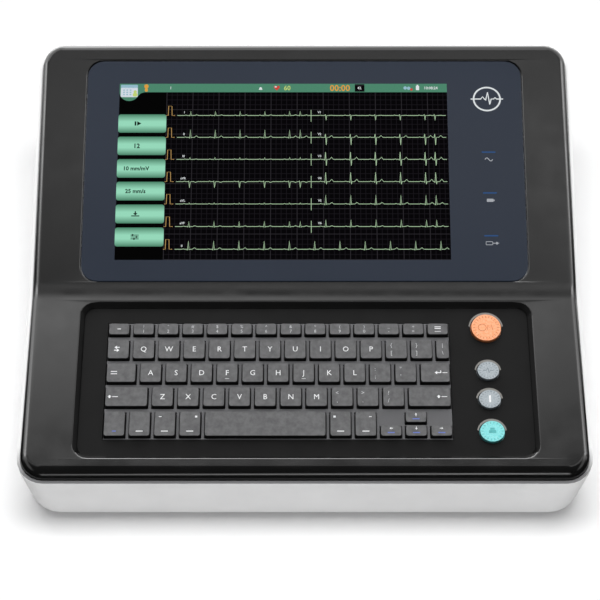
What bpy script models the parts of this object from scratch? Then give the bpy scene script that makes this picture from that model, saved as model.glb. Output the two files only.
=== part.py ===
"""Table-top twelve-lead ECG machine with a sloping touch screen, a keyboard deck and a rear chart recorder.

Run with: blender --background --python part.py
Metres, +Z up, +X to the operator's right, +Y away from the operator. The origin is on the table under the
middle of the housing.
"""

import math

import bmesh
import bpy
from mathutils import Matrix, Vector

MM = 0.001
GAP = 0.3 * MM  # between pieces that touch on the real machine

# ---------------------------------------------------------------- driving dimensions
COVER_WIDTH = 359 * MM
COVER_DEPTH = 299.4 * MM
COVER_FRONT = -COVER_DEPTH / 2
COVER_BACK = COVER_DEPTH / 2
COVER_CORNER = 15 * MM
COVER_WALL = 3 * MM
COVER_EDGE_ROUND = 6 * MM
EDGE_STEPS = 4
COVER_SHOW = 8 * MM  # height of the dark edge above the pale rim
COVER_PLUNGE = 2 * MM  # how far the cover's skirt drops inside the rim

RIM_LEDGE = 2.5 * MM  # the pale rim stands this far outside the dark cover
BASE_WALL = 2 * MM
BASE_RIM_BAND = 5 * MM  # upright band under the rim
BASE_DRAFT = 1 * MM  # how far front and sides lean in towards the bottom
BASE_BOTTOM_CORNER = 22 * MM
BASE_BOTTOM_ROUND = 2 * MM
BASE_WIDTH = COVER_WIDTH + 2 * RIM_LEDGE
BASE_FRONT = COVER_FRONT - RIM_LEDGE
REAR = COVER_BACK + RIM_LEDGE
BASE_CORNER = COVER_CORNER + RIM_LEDGE
FOOT_HEIGHT = 3 * MM
BOARD_THICK = 1.6 * MM
BASE_FLOOR_TOP = FOOT_HEIGHT + BASE_WALL

DECK_TILT = math.radians(4)
SCREEN_TILT = math.radians(14.2)
DECK_FRONT_HEIGHT = 62.5 * MM  # deck plane at the cover's front face
CREASE_Y = -22.7 * MM  # line where the deck plane meets the screen plane
CREASE_REACH = 6 * MM  # the hollow curve spans this far each side of that line
CREASE_STEPS = 4
CREASE_Z = DECK_FRONT_HEIGHT + (CREASE_Y - COVER_FRONT) * math.tan(DECK_TILT)

# Screen plane pieces: u runs up the slope from the crease, n is the outward normal.
GLASS_SIZE = (295.4 * MM, 156.6 * MM)
GLASS_CORNER = 11 * MM
GLASS_MID_U = 85.1 * MM
GLASS_DEPTH = 0.5 * MM
GLASS_THICK = 2.2 * MM
LCD_SIZE = (232 * MM, 143 * MM, 5.5 * MM)
LCD_VIEW = (222.7 * MM, 125.3 * MM)
LCD_MID = (-14.4 * MM, 84.2 * MM)
BRACKET_SIZE = (306 * MM, 160 * MM, 2 * MM)
BRACKET_MID_U = 84.6 * MM

# Deck plane pieces: v runs up the deck from the crease (so it is negative), n is the outward normal.
WELL_RIM = (294.8 * MM, 108.4 * MM, 10 * MM)  # width, length and corner radius at the deck surface
WELL_FLOOR = (287.8 * MM, 101.4 * MM, 6.5 * MM)
WELL_MID = (0.9 * MM, -62.3 * MM)
WELL_DEPTH = COVER_WALL + GAP
TRAY_MARGIN = 3 * MM
TRAY_THICK = 2 * MM

# Keyboard: widths in a row run from left to right; rows run from the back to the front.
KEYBOARD_LEFT = -127.8 * MM
KEYBOARD_WIDTH = 221.6 * MM
KEYBOARD_BACK_V = -22.1 * MM
KEYBOARD_LENGTH = 80.4 * MM
KEY_WIDE = 14.1 * MM
KEY_CORNER = 1.4 * MM
KEY_TOP_N = 0
KEY_TAPER = 0.35 * MM
KEY_CLEAR = 0.45 * MM
KEY_TRAVEL = 1.6 * MM
FRAME_DEPTH = WELL_DEPTH + 0.2 * MM
FRAME_THICK = 1.8 * MM
CARRIER_THICK = 1.2 * MM
CARRIER_MARGIN = 0.8 * MM
ROW_LENGTHS = (8.6 * MM, 13.8 * MM, 13.8 * MM, 13.8 * MM, 17.3 * MM)
ROW_GAPS = (3.0 * MM, 2.8 * MM, 2.8 * MM, 2.8 * MM)
HALF_KEY = 8 * MM

# Round keys beside the keyboard: name, x, v, width, length, colour
BUTTONS = (
    ("start_button", 118.2 * MM, -25.8 * MM, 19.4 * MM, 18.8 * MM, "orange"),
    ("lead_button", 118.1 * MM, -56.1 * MM, 14 * MM, 12.4 * MM, "silver_grey"),
    ("mark_button", 118.2 * MM, -75.8 * MM, 14 * MM, 12.4 * MM, "silver_grey"),
    ("print_button", 118.7 * MM, -97.8 * MM, 15.6 * MM, 14 * MM, "teal"),
)
BUTTON_TOP_N = -1 * MM
BUTTON_EDGE = 1.2 * MM
BUTTON_CLEAR = 0.5 * MM
BUTTON_FLANGE = 1.5 * MM

# Rear chart recorder, seen in section: y and z of each centre.
PAPER_X = (-115 * MM, 95 * MM)
PAPER_ROLL = (109 * MM, 60 * MM, 20 * MM)  # y, z, radius
PAPER_CORE_RADIUS = 6.5 * MM
PLATEN = (141.5 * MM, 83.5 * MM, 5.6 * MM)
PLATEN_SHAFT_RADIUS = 2 * MM
FRAME_PLATE = 2 * MM
RECORDER_FRAME_Y = (81 * MM, 132 * MM)
RECORDER_FRAME_Z = 35 * MM
RECORDER_FRAME_TOP = 87.2 * MM
PRINT_HEAD_Z = (76 * MM, 88.6 * MM)
DOOR_X = (-122 * MM, 109.5 * MM)
DOOR_Z = (40 * MM, 90 * MM)
DOOR_SWING_Z = 1.7 * MM  # room below the door for its lower edge to turn
DOOR_HINGE = (149.2 * MM, 42.2 * MM)
HINGE_ROD_RADIUS = 1.2 * MM
DOOR_SLOT_Z = 3.5 * MM  # paper slot above the door
LATCH_MID = (-7 * MM, 78 * MM)
LATCH_SIZE = (30 * MM, 10 * MM)
LATCH_TRAVEL = 3 * MM

# Gears of the recorder drive
GEAR_MODULE = 0.7 * MM
PLATEN_TEETH, IDLER_TEETH, PINION_TEETH = 20, 24, 12
GEAR_X = (103 * MM, 107.5 * MM)
PINION_DIRECTION = math.radians(240)  # from the idler, in the Y-Z plane

# Rear sockets: name, x, z, width and height of each face.
SOCKET_FLOOR = 14 * MM
REAR_SOCKETS = (
    ("mains_inlet", 146 * MM, 39 * MM, 28 * MM, 50 * MM),
    ("ecg_socket", 84 * MM, SOCKET_FLOOR + 7.5 * MM, 42 * MM, 15 * MM),
    ("usb_socket", 44 * MM, SOCKET_FLOOR + 8 * MM, 23.4 * MM, 16 * MM),
    ("lan_socket", 20 * MM, SOCKET_FLOOR + 8 * MM, 23.4 * MM, 16 * MM),
)
# Holes in the rear wall for them, in the same order of numbers. The last two sockets share a hole.
REAR_HOLES = (
    ("mains_inlet", 146 * MM, 39 * MM, 28.6 * MM, 50.6 * MM),
    ("ecg_socket", 84 * MM, SOCKET_FLOOR + 7.5 * MM, 42.6 * MM, 15.6 * MM),
    ("data_sockets", 32 * MM, SOCKET_FLOOR + 8 * MM, 48 * MM, 16.6 * MM),
)
GROUND_AT = (146 * MM, 80 * MM)
USB_PITCH = 7.6 * MM
USB_MOUTH = (12.6 * MM, 5.2 * MM)
LAN_MOUTH = (12 * MM, 8.6 * MM)
LAN_MOUTH_Z = SOCKET_FLOOR + 7 * MM

# Mains switch above the inlet, tilted to its off position
ROCKER = (19 * MM, 12.5 * MM)
ROCKER_MID_Z = 55 * MM
ROCKER_PIVOT_DEPTH = 4 * MM
ROCKER_TILT = math.radians(7)
BLADE_INSET = 5.5 * MM

# Underside
BATTERY_MID = (-92 * MM, -86 * MM)
BATTERY_HATCH = (124 * MM, 56 * MM)
DOOR_SCREW_X = -34 * MM
VENT_AT = (20 * MM, -80 * MM)
VENT_COUNT = 8
SCREW_X, SCREW_Y = (162 * MM, -162 * MM), (-112 * MM, 20 * MM)
FOOT_X, FOOT_Y = (145 * MM, -145 * MM), (-126 * MM, 124 * MM)

COLOURS = {
    "charcoal": ((0.045, 0.046, 0.046), 0.28, 0.0),
    "pale_grey": ((0.72, 0.72, 0.71), 0.45, 0.0),
    "glass_blue": ((0.035, 0.045, 0.06), 0.08, 0.0),
    "black_plastic": ((0.014, 0.014, 0.014), 0.5, 0.0),
    "key_grey": ((0.16, 0.16, 0.16), 0.6, 0.0),
    "orange": ((0.85, 0.28, 0.1), 0.4, 0.0),
    "silver_grey": ((0.5, 0.56, 0.58), 0.35, 0.0),
    "teal": ((0.25, 0.62, 0.63), 0.4, 0.0),
    "steel": ((0.6, 0.6, 0.6), 0.3, 1.0),
    "circuit_green": ((0.02, 0.16, 0.07), 0.5, 0.0),
    "rubber": ((0.03, 0.03, 0.03), 0.8, 0.0),
    "paper": ((0.85, 0.83, 0.8), 0.8, 0.0),
    "gear_white": ((0.8, 0.79, 0.74), 0.45, 0.0),
    "battery_blue": ((0.05, 0.12, 0.35), 0.5, 0.0),
}
materials = {}


# ---------------------------------------------------------------- helpers
SAME_POINT = 1e-7  # closer vertices are merged
TURN_TO = {  # carries a shape drawn across Z to one drawn across another axis
    "Z": Matrix.Identity(4),
    "X": Matrix(((0, 0, 1, 0), (1, 0, 0, 0), (0, 1, 0, 0), (0, 0, 0, 1))),
    "Y": Matrix(((1, 0, 0, 0), (0, 0, 1, 0), (0, 1, 0, 0), (0, 0, 0, 1))),
}


def clear_scene():
    for obj in list(bpy.data.objects):
        bpy.data.objects.remove(obj)


def collection(name, rendered=True):
    made = bpy.data.collections.new(name)
    made.hide_render = not rendered
    bpy.context.scene.collection.children.link(made)
    return made


def material(name):
    if name not in materials:
        colour, roughness, metallic = COLOURS[name]
        made = bpy.data.materials.new(name)
        made.use_nodes = True
        shader = made.node_tree.nodes["Principled BSDF"]
        shader.inputs["Base Color"].default_value = (*colour, 1)
        shader.inputs["Roughness"].default_value = roughness
        shader.inputs["Metallic"].default_value = metallic
        materials[name] = made
    return materials[name]


def object_from(name, bm, colour=None, parent=None, location=(0, 0, 0)):
    """A part if it has a colour, and a cutter if it hasn't."""
    bmesh.ops.recalc_face_normals(bm, faces=bm.faces)
    mesh = bpy.data.meshes.new(name)
    bm.to_mesh(mesh)
    bm.free()
    obj = bpy.data.objects.new(name, mesh)
    if colour is None:
        cutters.objects.link(obj)
        obj.hide_render = True
        obj.display_type = "WIRE"
    else:
        machine.objects.link(obj)
        mesh.materials.append(material(colour))
    obj.parent = parent
    obj.location = location
    return obj


def empty(name, location, tilt=0.0):
    made = bpy.data.objects.new(name, None)
    machine.objects.link(made)
    made.location = location
    made.rotation_euler = (tilt, 0, 0)
    return made


def boolean(obj, operation, *others):
    for other in others:
        modifier = obj.modifiers.new(other.name, "BOOLEAN")
        modifier.operation = operation
        modifier.solver = "EXACT"
        modifier.object = other


def cut(obj, *others):
    boolean(obj, "DIFFERENCE", *others)


def join(obj, *others):
    boolean(obj, "UNION", *others)


def extruded(outline, low, high, axis="Z"):
    """A bmesh of a flat outline, filled as a 2D curve and extruded from low to high along an axis."""
    curve = bpy.data.curves.new("outline", "CURVE")
    curve.dimensions = "2D"
    curve.fill_mode = "BOTH"
    curve.extrude = (high - low) / 2
    line = curve.splines.new("POLY")
    line.points.add(len(outline) - 1)
    for point, (a, b) in zip(line.points, outline):
        point.co = (a, b, 0, 1)
    line.use_cyclic_u = True
    holder = bpy.data.objects.new("outline", curve)
    mesh = bpy.data.meshes.new_from_object(holder)
    bm = bmesh.new()
    bm.from_mesh(mesh)
    bpy.data.objects.remove(holder)
    bpy.data.curves.remove(curve)
    bpy.data.meshes.remove(mesh)
    bmesh.ops.remove_doubles(bm, verts=bm.verts, dist=SAME_POINT)
    bmesh.ops.translate(bm, verts=bm.verts, vec=(0, 0, (low + high) / 2))
    bmesh.ops.transform(bm, matrix=TURN_TO[axis], verts=bm.verts)
    return bm


def rectangle(width, length, corner=0.0, steps=3, centre=(0, 0)):
    """A rectangle's outline, its corners rounded in steps chords each."""
    points = []
    turns = [math.pi / 2 * i / steps for i in range(steps + 1)] if corner else [0]
    for quarter, (sx, sy) in enumerate(((1, 1), (-1, 1), (-1, -1), (1, -1))):
        cx, cy = sx * (width / 2 - corner), sy * (length / 2 - corner)
        for turn in turns:
            angle = quarter * math.pi / 2 + turn
            x = centre[0] + cx + corner * math.cos(angle)
            points.append((x, centre[1] + cy + corner * math.sin(angle)))
    return points


def ellipse(width, length, steps=28, centre=(0, 0)):
    return [
        (
            centre[0] + width / 2 * math.cos(2 * math.pi * i / steps),
            centre[1] + length / 2 * math.sin(2 * math.pi * i / steps),
        )
        for i in range(steps)
    ]


def block(x, y, z):
    """A bmesh of a box given as (low, high) along each direction."""
    bm = bmesh.new()
    middle = Vector([(low + high) / 2 for low, high in (x, y, z)])
    size = Vector([high - low for low, high in (x, y, z)])
    bmesh.ops.create_cube(bm, size=1, matrix=Matrix.LocRotScale(middle, None, size))
    return bm


def box(name, x, y, z, colour=None, parent=None, **how):
    return object_from(name, block(x, y, z), colour, parent, **how)


def around(middle, size):
    return (middle - size / 2, middle + size / 2)


def cylinder(name, radius, low, high, centre=(0, 0), axis="Z", colour=None, parent=None, steps=20, **how):
    bm = bmesh.new()
    place = Matrix.Translation((*centre, (low + high) / 2)) @ Matrix.Rotation(-math.pi / 2, 4, "Z")
    bmesh.ops.create_cone(
        bm, cap_ends=True, segments=steps, radius1=radius, radius2=radius, depth=high - low,
        matrix=TURN_TO[axis] @ place,
    )
    return object_from(name, bm, colour, parent, **how)


def loft(rings):
    """A bmesh with walls between rings that have the same number of points."""
    bm = bmesh.new()
    loops = [[bm.verts.new(p) for p in ring] for ring in rings]
    for lower, upper in zip(loops, loops[1:]):
        for i in range(len(lower)):
            j = (i + 1) % len(lower)
            bm.faces.new((lower[i], lower[j], upper[j], upper[i]))
    return bm, loops


def smooth(obj, degrees=32):
    obj.data.shade_smooth()
    obj.data.set_sharp_from_angle(angle=math.radians(degrees))


def bevelled(obj, width, segments, degrees=50):
    modifier = obj.modifiers.new("rounded_edge", "BEVEL")
    modifier.width = width
    modifier.segments = segments
    modifier.limit_method = "ANGLE"
    modifier.angle_limit = math.radians(degrees)


def thickened(obj, wall):
    modifier = obj.modifiers.new("wall", "SOLIDIFY")
    modifier.thickness = wall
    modifier.offset = -1
    modifier.use_even_offset = True


# ---------------------------------------------------------------- the housing's shape
def top_z(y):
    """Height of the cover's outer surface: the deck plane, a hollow curve, then the screen plane."""
    deck, screen = math.tan(DECK_TILT), math.tan(SCREEN_TILT)
    from_crease = y - CREASE_Y
    if from_crease <= -CREASE_REACH:
        return CREASE_Z + from_crease * deck
    if from_crease >= CREASE_REACH:
        return CREASE_Z + from_crease * screen
    risen = from_crease + CREASE_REACH
    return CREASE_Z + from_crease * deck + (screen - deck) * risen**2 / (4 * CREASE_REACH)


def side_chain(half_width, front, back, front_corner, back_corner, steps=6):
    """The right half of the housing's plan, from the front edge round to the back edge."""
    chain = []
    for i in range(steps + 1):
        turn = math.pi / 2 * i / steps
        x = half_width - front_corner + front_corner * math.sin(turn)
        chain.append((x, front + front_corner - front_corner * math.cos(turn)))
    for i in range(CREASE_STEPS + 1):
        chain.append((half_width, CREASE_Y + CREASE_REACH * (2 * i / CREASE_STEPS - 1)))
    for i in range(steps + 1):
        turn = math.pi / 2 * i / steps
        x = half_width - back_corner + back_corner * math.cos(turn)
        chain.append((x, back - back_corner + back_corner * math.sin(turn)))
    return chain


def ring(chain, height):
    """The whole plan as a loop of points, with its height a function of y."""
    right = [(x, y, height(y)) for x, y in chain]
    left = [(-x, y, height(y)) for x, y in reversed(chain)]
    return right + left


def make_cover():
    chain = side_chain(COVER_WIDTH / 2, COVER_FRONT, COVER_BACK, COVER_CORNER, COVER_CORNER)
    rings = [ring(chain, lambda y: top_z(y) - COVER_SHOW - COVER_PLUNGE)]
    for i in range(EDGE_STEPS + 1):
        turn = math.pi / 2 * i / EDGE_STEPS
        inset = COVER_EDGE_ROUND * (1 - math.cos(turn))
        drop = COVER_EDGE_ROUND * (1 - math.sin(turn))
        corner = COVER_CORNER - inset
        front, back = COVER_FRONT + inset, COVER_BACK - inset
        chain = side_chain(COVER_WIDTH / 2 - inset, front, back, corner, corner)
        rings.append(ring(chain, lambda y, drop=drop: top_z(y) - drop))
    bm, loops = loft(rings)
    top = loops[-1]
    for i in range(len(chain) - 1):
        mirrored = len(top) - 1 - i
        bm.faces.new((top[i], top[i + 1], top[mirrored - 1], top[mirrored]))
    cover = object_from("top_cover", bm, "charcoal")
    thickened(cover, COVER_WALL)
    glass_hole = rectangle(
        GLASS_SIZE[0] + 2 * BUTTON_CLEAR,
        GLASS_SIZE[1] + 2 * BUTTON_CLEAR,
        GLASS_CORNER + BUTTON_CLEAR,
        5,
        (0, GLASS_MID_U),
    )
    cut(cover, object_from("glass_hole", extruded(glass_hole, -20 * MM, 20 * MM), None, screen_plane))
    # The well's sides slope, so its cutter is a loft carried a little past both faces of the wall.
    over = 1.4
    rings = []
    for share in (1 + over, -over):
        size = [WELL_FLOOR[i] + (WELL_RIM[i] - WELL_FLOOR[i]) * share for i in range(3)]
        outline = rectangle(size[0], size[1], max(size[2], 1 * MM), 5, WELL_MID)
        rings.append([(x, v, -WELL_DEPTH * (1 - share)) for x, v in outline])
    bm, loops = loft(rings)
    for loop in loops:
        bm.faces.new(loop)
    cut(cover, object_from("well_cutter", bm, None, deck_plane))
    for name, x, y in screw_places():
        height = top_z(y) - COVER_WALL / 2
        post = cylinder(f"post_{name}", 3.5 * MM, BASE_FLOOR_TOP + 8 * MM + GAP, height, (x, y), steps=12)
        bore = cylinder(f"post_bore_{name}", 1.9 * MM, 0, BASE_FLOOR_TOP + 18 * MM, (x, y), steps=12)
        join(cover, post)
        cut(cover, bore)
    smooth(cover)
    return cover


def make_base():
    def rim_z(y):
        return top_z(y) - COVER_SHOW

    rim_chain = side_chain(BASE_WIDTH / 2, BASE_FRONT, REAR, BASE_CORNER, BASE_CORNER)
    bottom_half = BASE_WIDTH / 2 - BASE_DRAFT
    bottom_chain = side_chain(bottom_half, BASE_FRONT + BASE_DRAFT, REAR, BASE_BOTTOM_CORNER, BASE_CORNER)
    rings = [
        ring(bottom_chain, lambda y: FOOT_HEIGHT),
        ring(rim_chain, lambda y: rim_z(y) - BASE_RIM_BAND),
        ring(rim_chain, rim_z),
    ]
    bm, loops = loft(rings)
    bm.faces.new(loops[0])
    base = object_from("base_housing", bm, "pale_grey")
    bevelled(base, BASE_BOTTOM_ROUND, 2, 60)
    thickened(base, BASE_WALL)
    through = (REAR - 10 * MM, REAR + 10 * MM)
    holes = [box("door_hole", DOOR_X, through, (DOOR_Z[0] - DOOR_SWING_Z, DOOR_Z[1] + DOOR_SLOT_Z))]
    for name, x, z, width, height in REAR_HOLES:
        holes.append(box(f"{name}_hole", around(x, width), through, around(z, height)))
    stud_x, stud_z = GROUND_AT
    holes.append(cylinder("stud_hole", 7 * MM, *through, (stud_x, stud_z), "Y"))
    below = (0, BASE_FLOOR_TOP + 1 * MM)
    bay_x, bay_y = around(BATTERY_MID[0], BATTERY_HATCH[0]), around(BATTERY_MID[1], BATTERY_HATCH[1])
    holes.append(box("battery_hole", bay_x, bay_y, below))
    for i in range(VENT_COUNT):
        x = VENT_AT[0] + i * 7 * MM
        holes.append(box(f"vent_{i}", around(x, 3 * MM), around(VENT_AT[1], 36 * MM), below))
    for name, x, y in foot_places():
        holes.append(cylinder(f"foot_hole_{name}", 3.3 * MM, *below, (x, y), steps=12))
    for name, x, y in screw_places():
        boss_z = (FOOT_HEIGHT + 1 * MM, BASE_FLOOR_TOP + 8 * MM)
        join(base, cylinder(f"boss_{name}", 4.5 * MM, *boss_z, (x, y), steps=16))
        holes.append(cylinder(f"screw_hole_{name}", 1.9 * MM, 0, 30 * MM, (x, y), steps=12))
        holes.append(cylinder(f"head_hole_{name}", 3.4 * MM, 0, FOOT_HEIGHT + 5 * MM, (x, y), steps=16))
    # The battery door's screw goes up into a block that stands on the floor beside the hatch.
    edge = BATTERY_MID[0] + BATTERY_HATCH[0] / 2
    block_y = around(BATTERY_MID[1], 9 * MM)
    block_z = (BASE_FLOOR_TOP + GAP, 14 * MM)
    block = box("door_block", (DOOR_SCREW_X - 4 * MM, edge + 5 * MM), block_y, block_z)
    root = box("block_root", (edge + GAP, edge + 5 * MM), block_y, (FOOT_HEIGHT + 1 * MM, 8 * MM))
    join(base, block, root)
    screw_at = (DOOR_SCREW_X, BATTERY_MID[1])
    holes.append(cylinder("block_bore", 1.6 * MM, 0, BASE_FLOOR_TOP + 7 * MM, screw_at, steps=12))
    boss_y, boss_z = (REAR - 6.5 * MM, REAR - 1 * MM), around(DOOR_HINGE[1], 6.5 * MM)
    for side, x in (("left", DOOR_X[0] - 3 * MM), ("right", DOOR_X[1] + 3 * MM)):
        join(base, box(f"hinge_boss_{side}", around(x, 5 * MM), boss_y, boss_z))
    reach = (DOOR_X[0] - 4.8 * MM, DOOR_X[1] + 4.8 * MM)
    holes.append(cylinder("rod_hole", HINGE_ROD_RADIUS + GAP, *reach, DOOR_HINGE, "X", steps=16))
    cut(base, *holes)
    smooth(base)
    return base


def screw_places():
    return [
        (f"{'back' if y > 0 else 'front'}_{'right' if x > 0 else 'left'}", x, y)
        for y in SCREW_Y
        for x in SCREW_X
    ]


def foot_places():
    return [
        (f"{'back' if y > 0 else 'front'}_{'right' if x > 0 else 'left'}", x, y)
        for y in FOOT_Y
        for x in FOOT_X
    ]


def make_feet_and_screws():
    for name, x, y in foot_places():
        foot = cylinder(f"foot_{name}", 8 * MM, 0, FOOT_HEIGHT - GAP, colour="rubber", location=(x, y, 0))
        join(foot, cylinder(f"foot_stem_{name}", 3 * MM, 1 * MM, BASE_FLOOR_TOP + 1 * MM, (x, y), steps=12))
        smooth(foot)
    for name, x, y in screw_places():
        low = FOOT_HEIGHT + 2 * MM
        head = cylinder(
            f"case_screw_{name}", 3 * MM, 0, 2.7 * MM, colour="steel", steps=16, location=(x, y, low)
        )
        join(head, cylinder(f"shank_{name}", 1.5 * MM, low + 1 * MM, low + 16 * MM, (x, y), steps=10))
        slot = box(f"slot_{name}", around(x, 1 * MM), around(y, 4 * MM), (0, low + 1.2 * MM))
        cut(head, slot)
        smooth(head)


# ---------------------------------------------------------------- display
def make_display():
    glass_outline = rectangle(*GLASS_SIZE, GLASS_CORNER, 5, (0, GLASS_MID_U))
    low = -GLASS_DEPTH - GLASS_THICK
    object_from("screen_glass", extruded(glass_outline, low, -GLASS_DEPTH), "glass_blue", screen_plane)
    top = -COVER_WALL - GAP
    width, length, thick = BRACKET_SIZE
    bracket = object_from(
        "display_bracket",
        extruded(rectangle(width, length, 6 * MM, 2, (0, BRACKET_MID_U)), top - thick, top),
        "steel",
        screen_plane,
    )
    window = rectangle(LCD_VIEW[0] + 3 * MM, LCD_VIEW[1] + 3 * MM, centre=LCD_MID)
    cut(bracket, object_from("lcd_window", extruded(window, -20 * MM, 0), None, screen_plane))
    width, length, thick = LCD_SIZE
    top -= BRACKET_SIZE[2] + GAP
    outline = rectangle(width, length, centre=LCD_MID)
    object_from("lcd_panel", extruded(outline, top - thick, top), "black_plastic", screen_plane)


# ---------------------------------------------------------------- keyboard
def full_row(count):
    return [KEY_WIDE] * count


def key_rows():
    """Each key as (group, x, v, width, length), worked out from the rows' widths and gaps."""
    spare = 13.8 * MM
    widths = (
        [spare] * 14,
        full_row(13) + [8.6 * MM],
        [19.2 * MM] + full_row(11) + [19.2 * MM],
        [27.4 * MM] + full_row(10) + [27.4 * MM],
        [spare] * 4 + [77.2 * MM] + [spare] * 5,
    )
    groups = (
        ["number_keys"] * 14,
        ["upper_letter_keys"] * 14,
        ["caps_lock_key"] + ["home_letter_keys"] * 11 + ["enter_key"],
        ["left_shift_key"] + ["lower_letter_keys"] * 10 + ["right_shift_key"],
        ["left_modifier_keys"] * 4
        + ["space_bar"]
        + ["right_modifier_keys"] * 2
        + ["arrow_left_key", "arrow_up_key", "arrow_right_key"],
    )
    keys = []
    v = KEYBOARD_BACK_V - 0.9 * MM
    for row, (wide, names) in enumerate(zip(widths, groups)):
        length = ROW_LENGTHS[row]
        gap = (KEYBOARD_WIDTH - 0.8 * MM - sum(wide)) / (len(wide) - 1)
        x = KEYBOARD_LEFT + 0.4 * MM
        for width, name in zip(wide, names):
            middle = x + width / 2
            if name in ("arrow_left_key", "arrow_right_key"):
                keys.append((name, middle, v - length + HALF_KEY / 2, width, HALF_KEY))
            elif name == "arrow_up_key":
                keys.append((name, middle, v - HALF_KEY / 2, width, HALF_KEY))
                keys.append(("arrow_down_key", middle, v - length + HALF_KEY / 2, width, HALF_KEY))
            else:
                keys.append((name, middle, v - length / 2, width, length))
            x += width + gap
        v -= length + (ROW_GAPS[row] if row < len(ROW_GAPS) else 0)
    return keys


def keycap(bm, x, v, width, length):
    """One keycap, tapered towards its top, added to a bmesh in deck coordinates."""
    bottom = -FRAME_DEPTH - FRAME_THICK - GAP - CARRIER_THICK / 2
    lower = [(a, b, bottom) for a, b in rectangle(width, length, KEY_CORNER, 2, (x, v))]
    trim = 2 * KEY_TAPER
    upper = [(a, b, KEY_TOP_N) for a, b in rectangle(width - trim, length - trim, KEY_CORNER, 2, (x, v))]
    cap, loops = loft([lower, upper])
    for loop in loops:
        cap.faces.new(loop)
    bmesh.ops.recalc_face_normals(cap, faces=cap.faces)
    mesh = bpy.data.meshes.new("cap")
    cap.to_mesh(mesh)
    cap.free()
    bm.from_mesh(mesh)
    bpy.data.meshes.remove(mesh)


def make_keyboard():
    keys = key_rows()
    middle = (KEYBOARD_LEFT + KEYBOARD_WIDTH / 2, KEYBOARD_BACK_V - KEYBOARD_LENGTH / 2)
    top = -FRAME_DEPTH
    frame = object_from(
        "keyboard_frame",
        block(around(middle[0], KEYBOARD_WIDTH), around(middle[1], KEYBOARD_LENGTH), (top - FRAME_THICK, top)),
        "key_grey",
        deck_plane,
    )
    holes = bmesh.new()
    for _, x, v, width, length in keys:
        hole = block(around(x, width + KEY_CLEAR), around(v, length + KEY_CLEAR), (-9 * MM, 0))
        bmesh.ops.recalc_face_normals(hole, faces=hole.faces)
        mesh = bpy.data.meshes.new("hole")
        hole.to_mesh(mesh)
        hole.free()
        holes.from_mesh(mesh)
        bpy.data.meshes.remove(mesh)
    cut(frame, object_from("key_holes", holes, None, deck_plane))

    carrier_top = top - FRAME_THICK - GAP
    for group in dict.fromkeys(key[0] for key in keys):
        members = [key[1:] for key in keys if key[0] == group]
        low_x = min(x - width / 2 for x, _, width, _ in members) - CARRIER_MARGIN
        high_x = max(x + width / 2 for x, _, width, _ in members) + CARRIER_MARGIN
        low_v = min(v - length / 2 for _, v, _, length in members) - CARRIER_MARGIN / 2
        high_v = max(v + length / 2 for _, v, _, length in members) + CARRIER_MARGIN / 2
        caps = bmesh.new()
        for member in members:
            keycap(caps, *member)
        strip = block((low_x, high_x), (low_v, high_v), (carrier_top - CARRIER_THICK, carrier_top))
        row = object_from(group, strip, "key_grey", deck_plane)
        join(row, object_from(f"{group}_caps", caps, None, deck_plane))

    board_top = carrier_top - CARRIER_THICK - KEY_TRAVEL - 0.4 * MM
    size_x, size_v = KEYBOARD_WIDTH + 4 * MM, KEYBOARD_LENGTH + 4 * MM
    board = block(around(middle[0], size_x), around(middle[1], size_v), (board_top - BOARD_THICK, board_top))
    object_from("keyboard_circuit_board", board, "circuit_green", deck_plane)


def make_tray():
    top = -WELL_DEPTH
    size = [WELL_FLOOR[0] + 2 * TRAY_MARGIN, WELL_FLOOR[1] + 2 * TRAY_MARGIN]
    outline = rectangle(*size, WELL_FLOOR[2], 3, WELL_MID)
    plate = extruded(outline, top - TRAY_THICK, top)
    tray = object_from("keyboard_tray", plate, "black_plastic", deck_plane)
    middle = (KEYBOARD_LEFT + KEYBOARD_WIDTH / 2, KEYBOARD_BACK_V - KEYBOARD_LENGTH / 2)
    hole_x, hole_v = around(middle[0], KEYBOARD_WIDTH + 2 * GAP), around(middle[1], KEYBOARD_LENGTH + 2 * GAP)
    cut(tray, box("keyboard_hole", hole_x, hole_v, (-10 * MM, 0), None, deck_plane))
    for name, x, v, width, length, _ in BUTTONS:
        around_it = 2 * BUTTON_CLEAR
        hole = ellipse(width + around_it, length + around_it, centre=(x, v))
        cut(tray, object_from(f"{name}_hole", extruded(hole, -10 * MM, 0), None, deck_plane))


def make_buttons():
    flange_top = -WELL_DEPTH - TRAY_THICK - GAP
    for name, x, v, width, length, colour in BUTTONS:
        bm = extruded(ellipse(width, length), flange_top - 1 * MM, BUTTON_TOP_N)
        button = object_from(name, bm, colour, deck_plane, (x, v, 0))
        bevelled(button, BUTTON_EDGE, 2)
        wide = ellipse(width + 2 * BUTTON_FLANGE, length + 2 * BUTTON_FLANGE, centre=(x, v))
        low = flange_top - 1.5 * MM
        join(button, object_from(f"{name}_flange", extruded(wide, low, flange_top), None, deck_plane))
        smooth(button)
    x, v = BUTTONS[0][1], (BUTTONS[0][2] + BUTTONS[-1][2]) / 2
    board_top = flange_top - 1.5 * MM - KEY_TRAVEL - 0.4 * MM
    board = block(around(x, 26 * MM), around(v, 98 * MM), (board_top - BOARD_THICK, board_top))
    object_from("button_circuit_board", board, "circuit_green", deck_plane)


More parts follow.
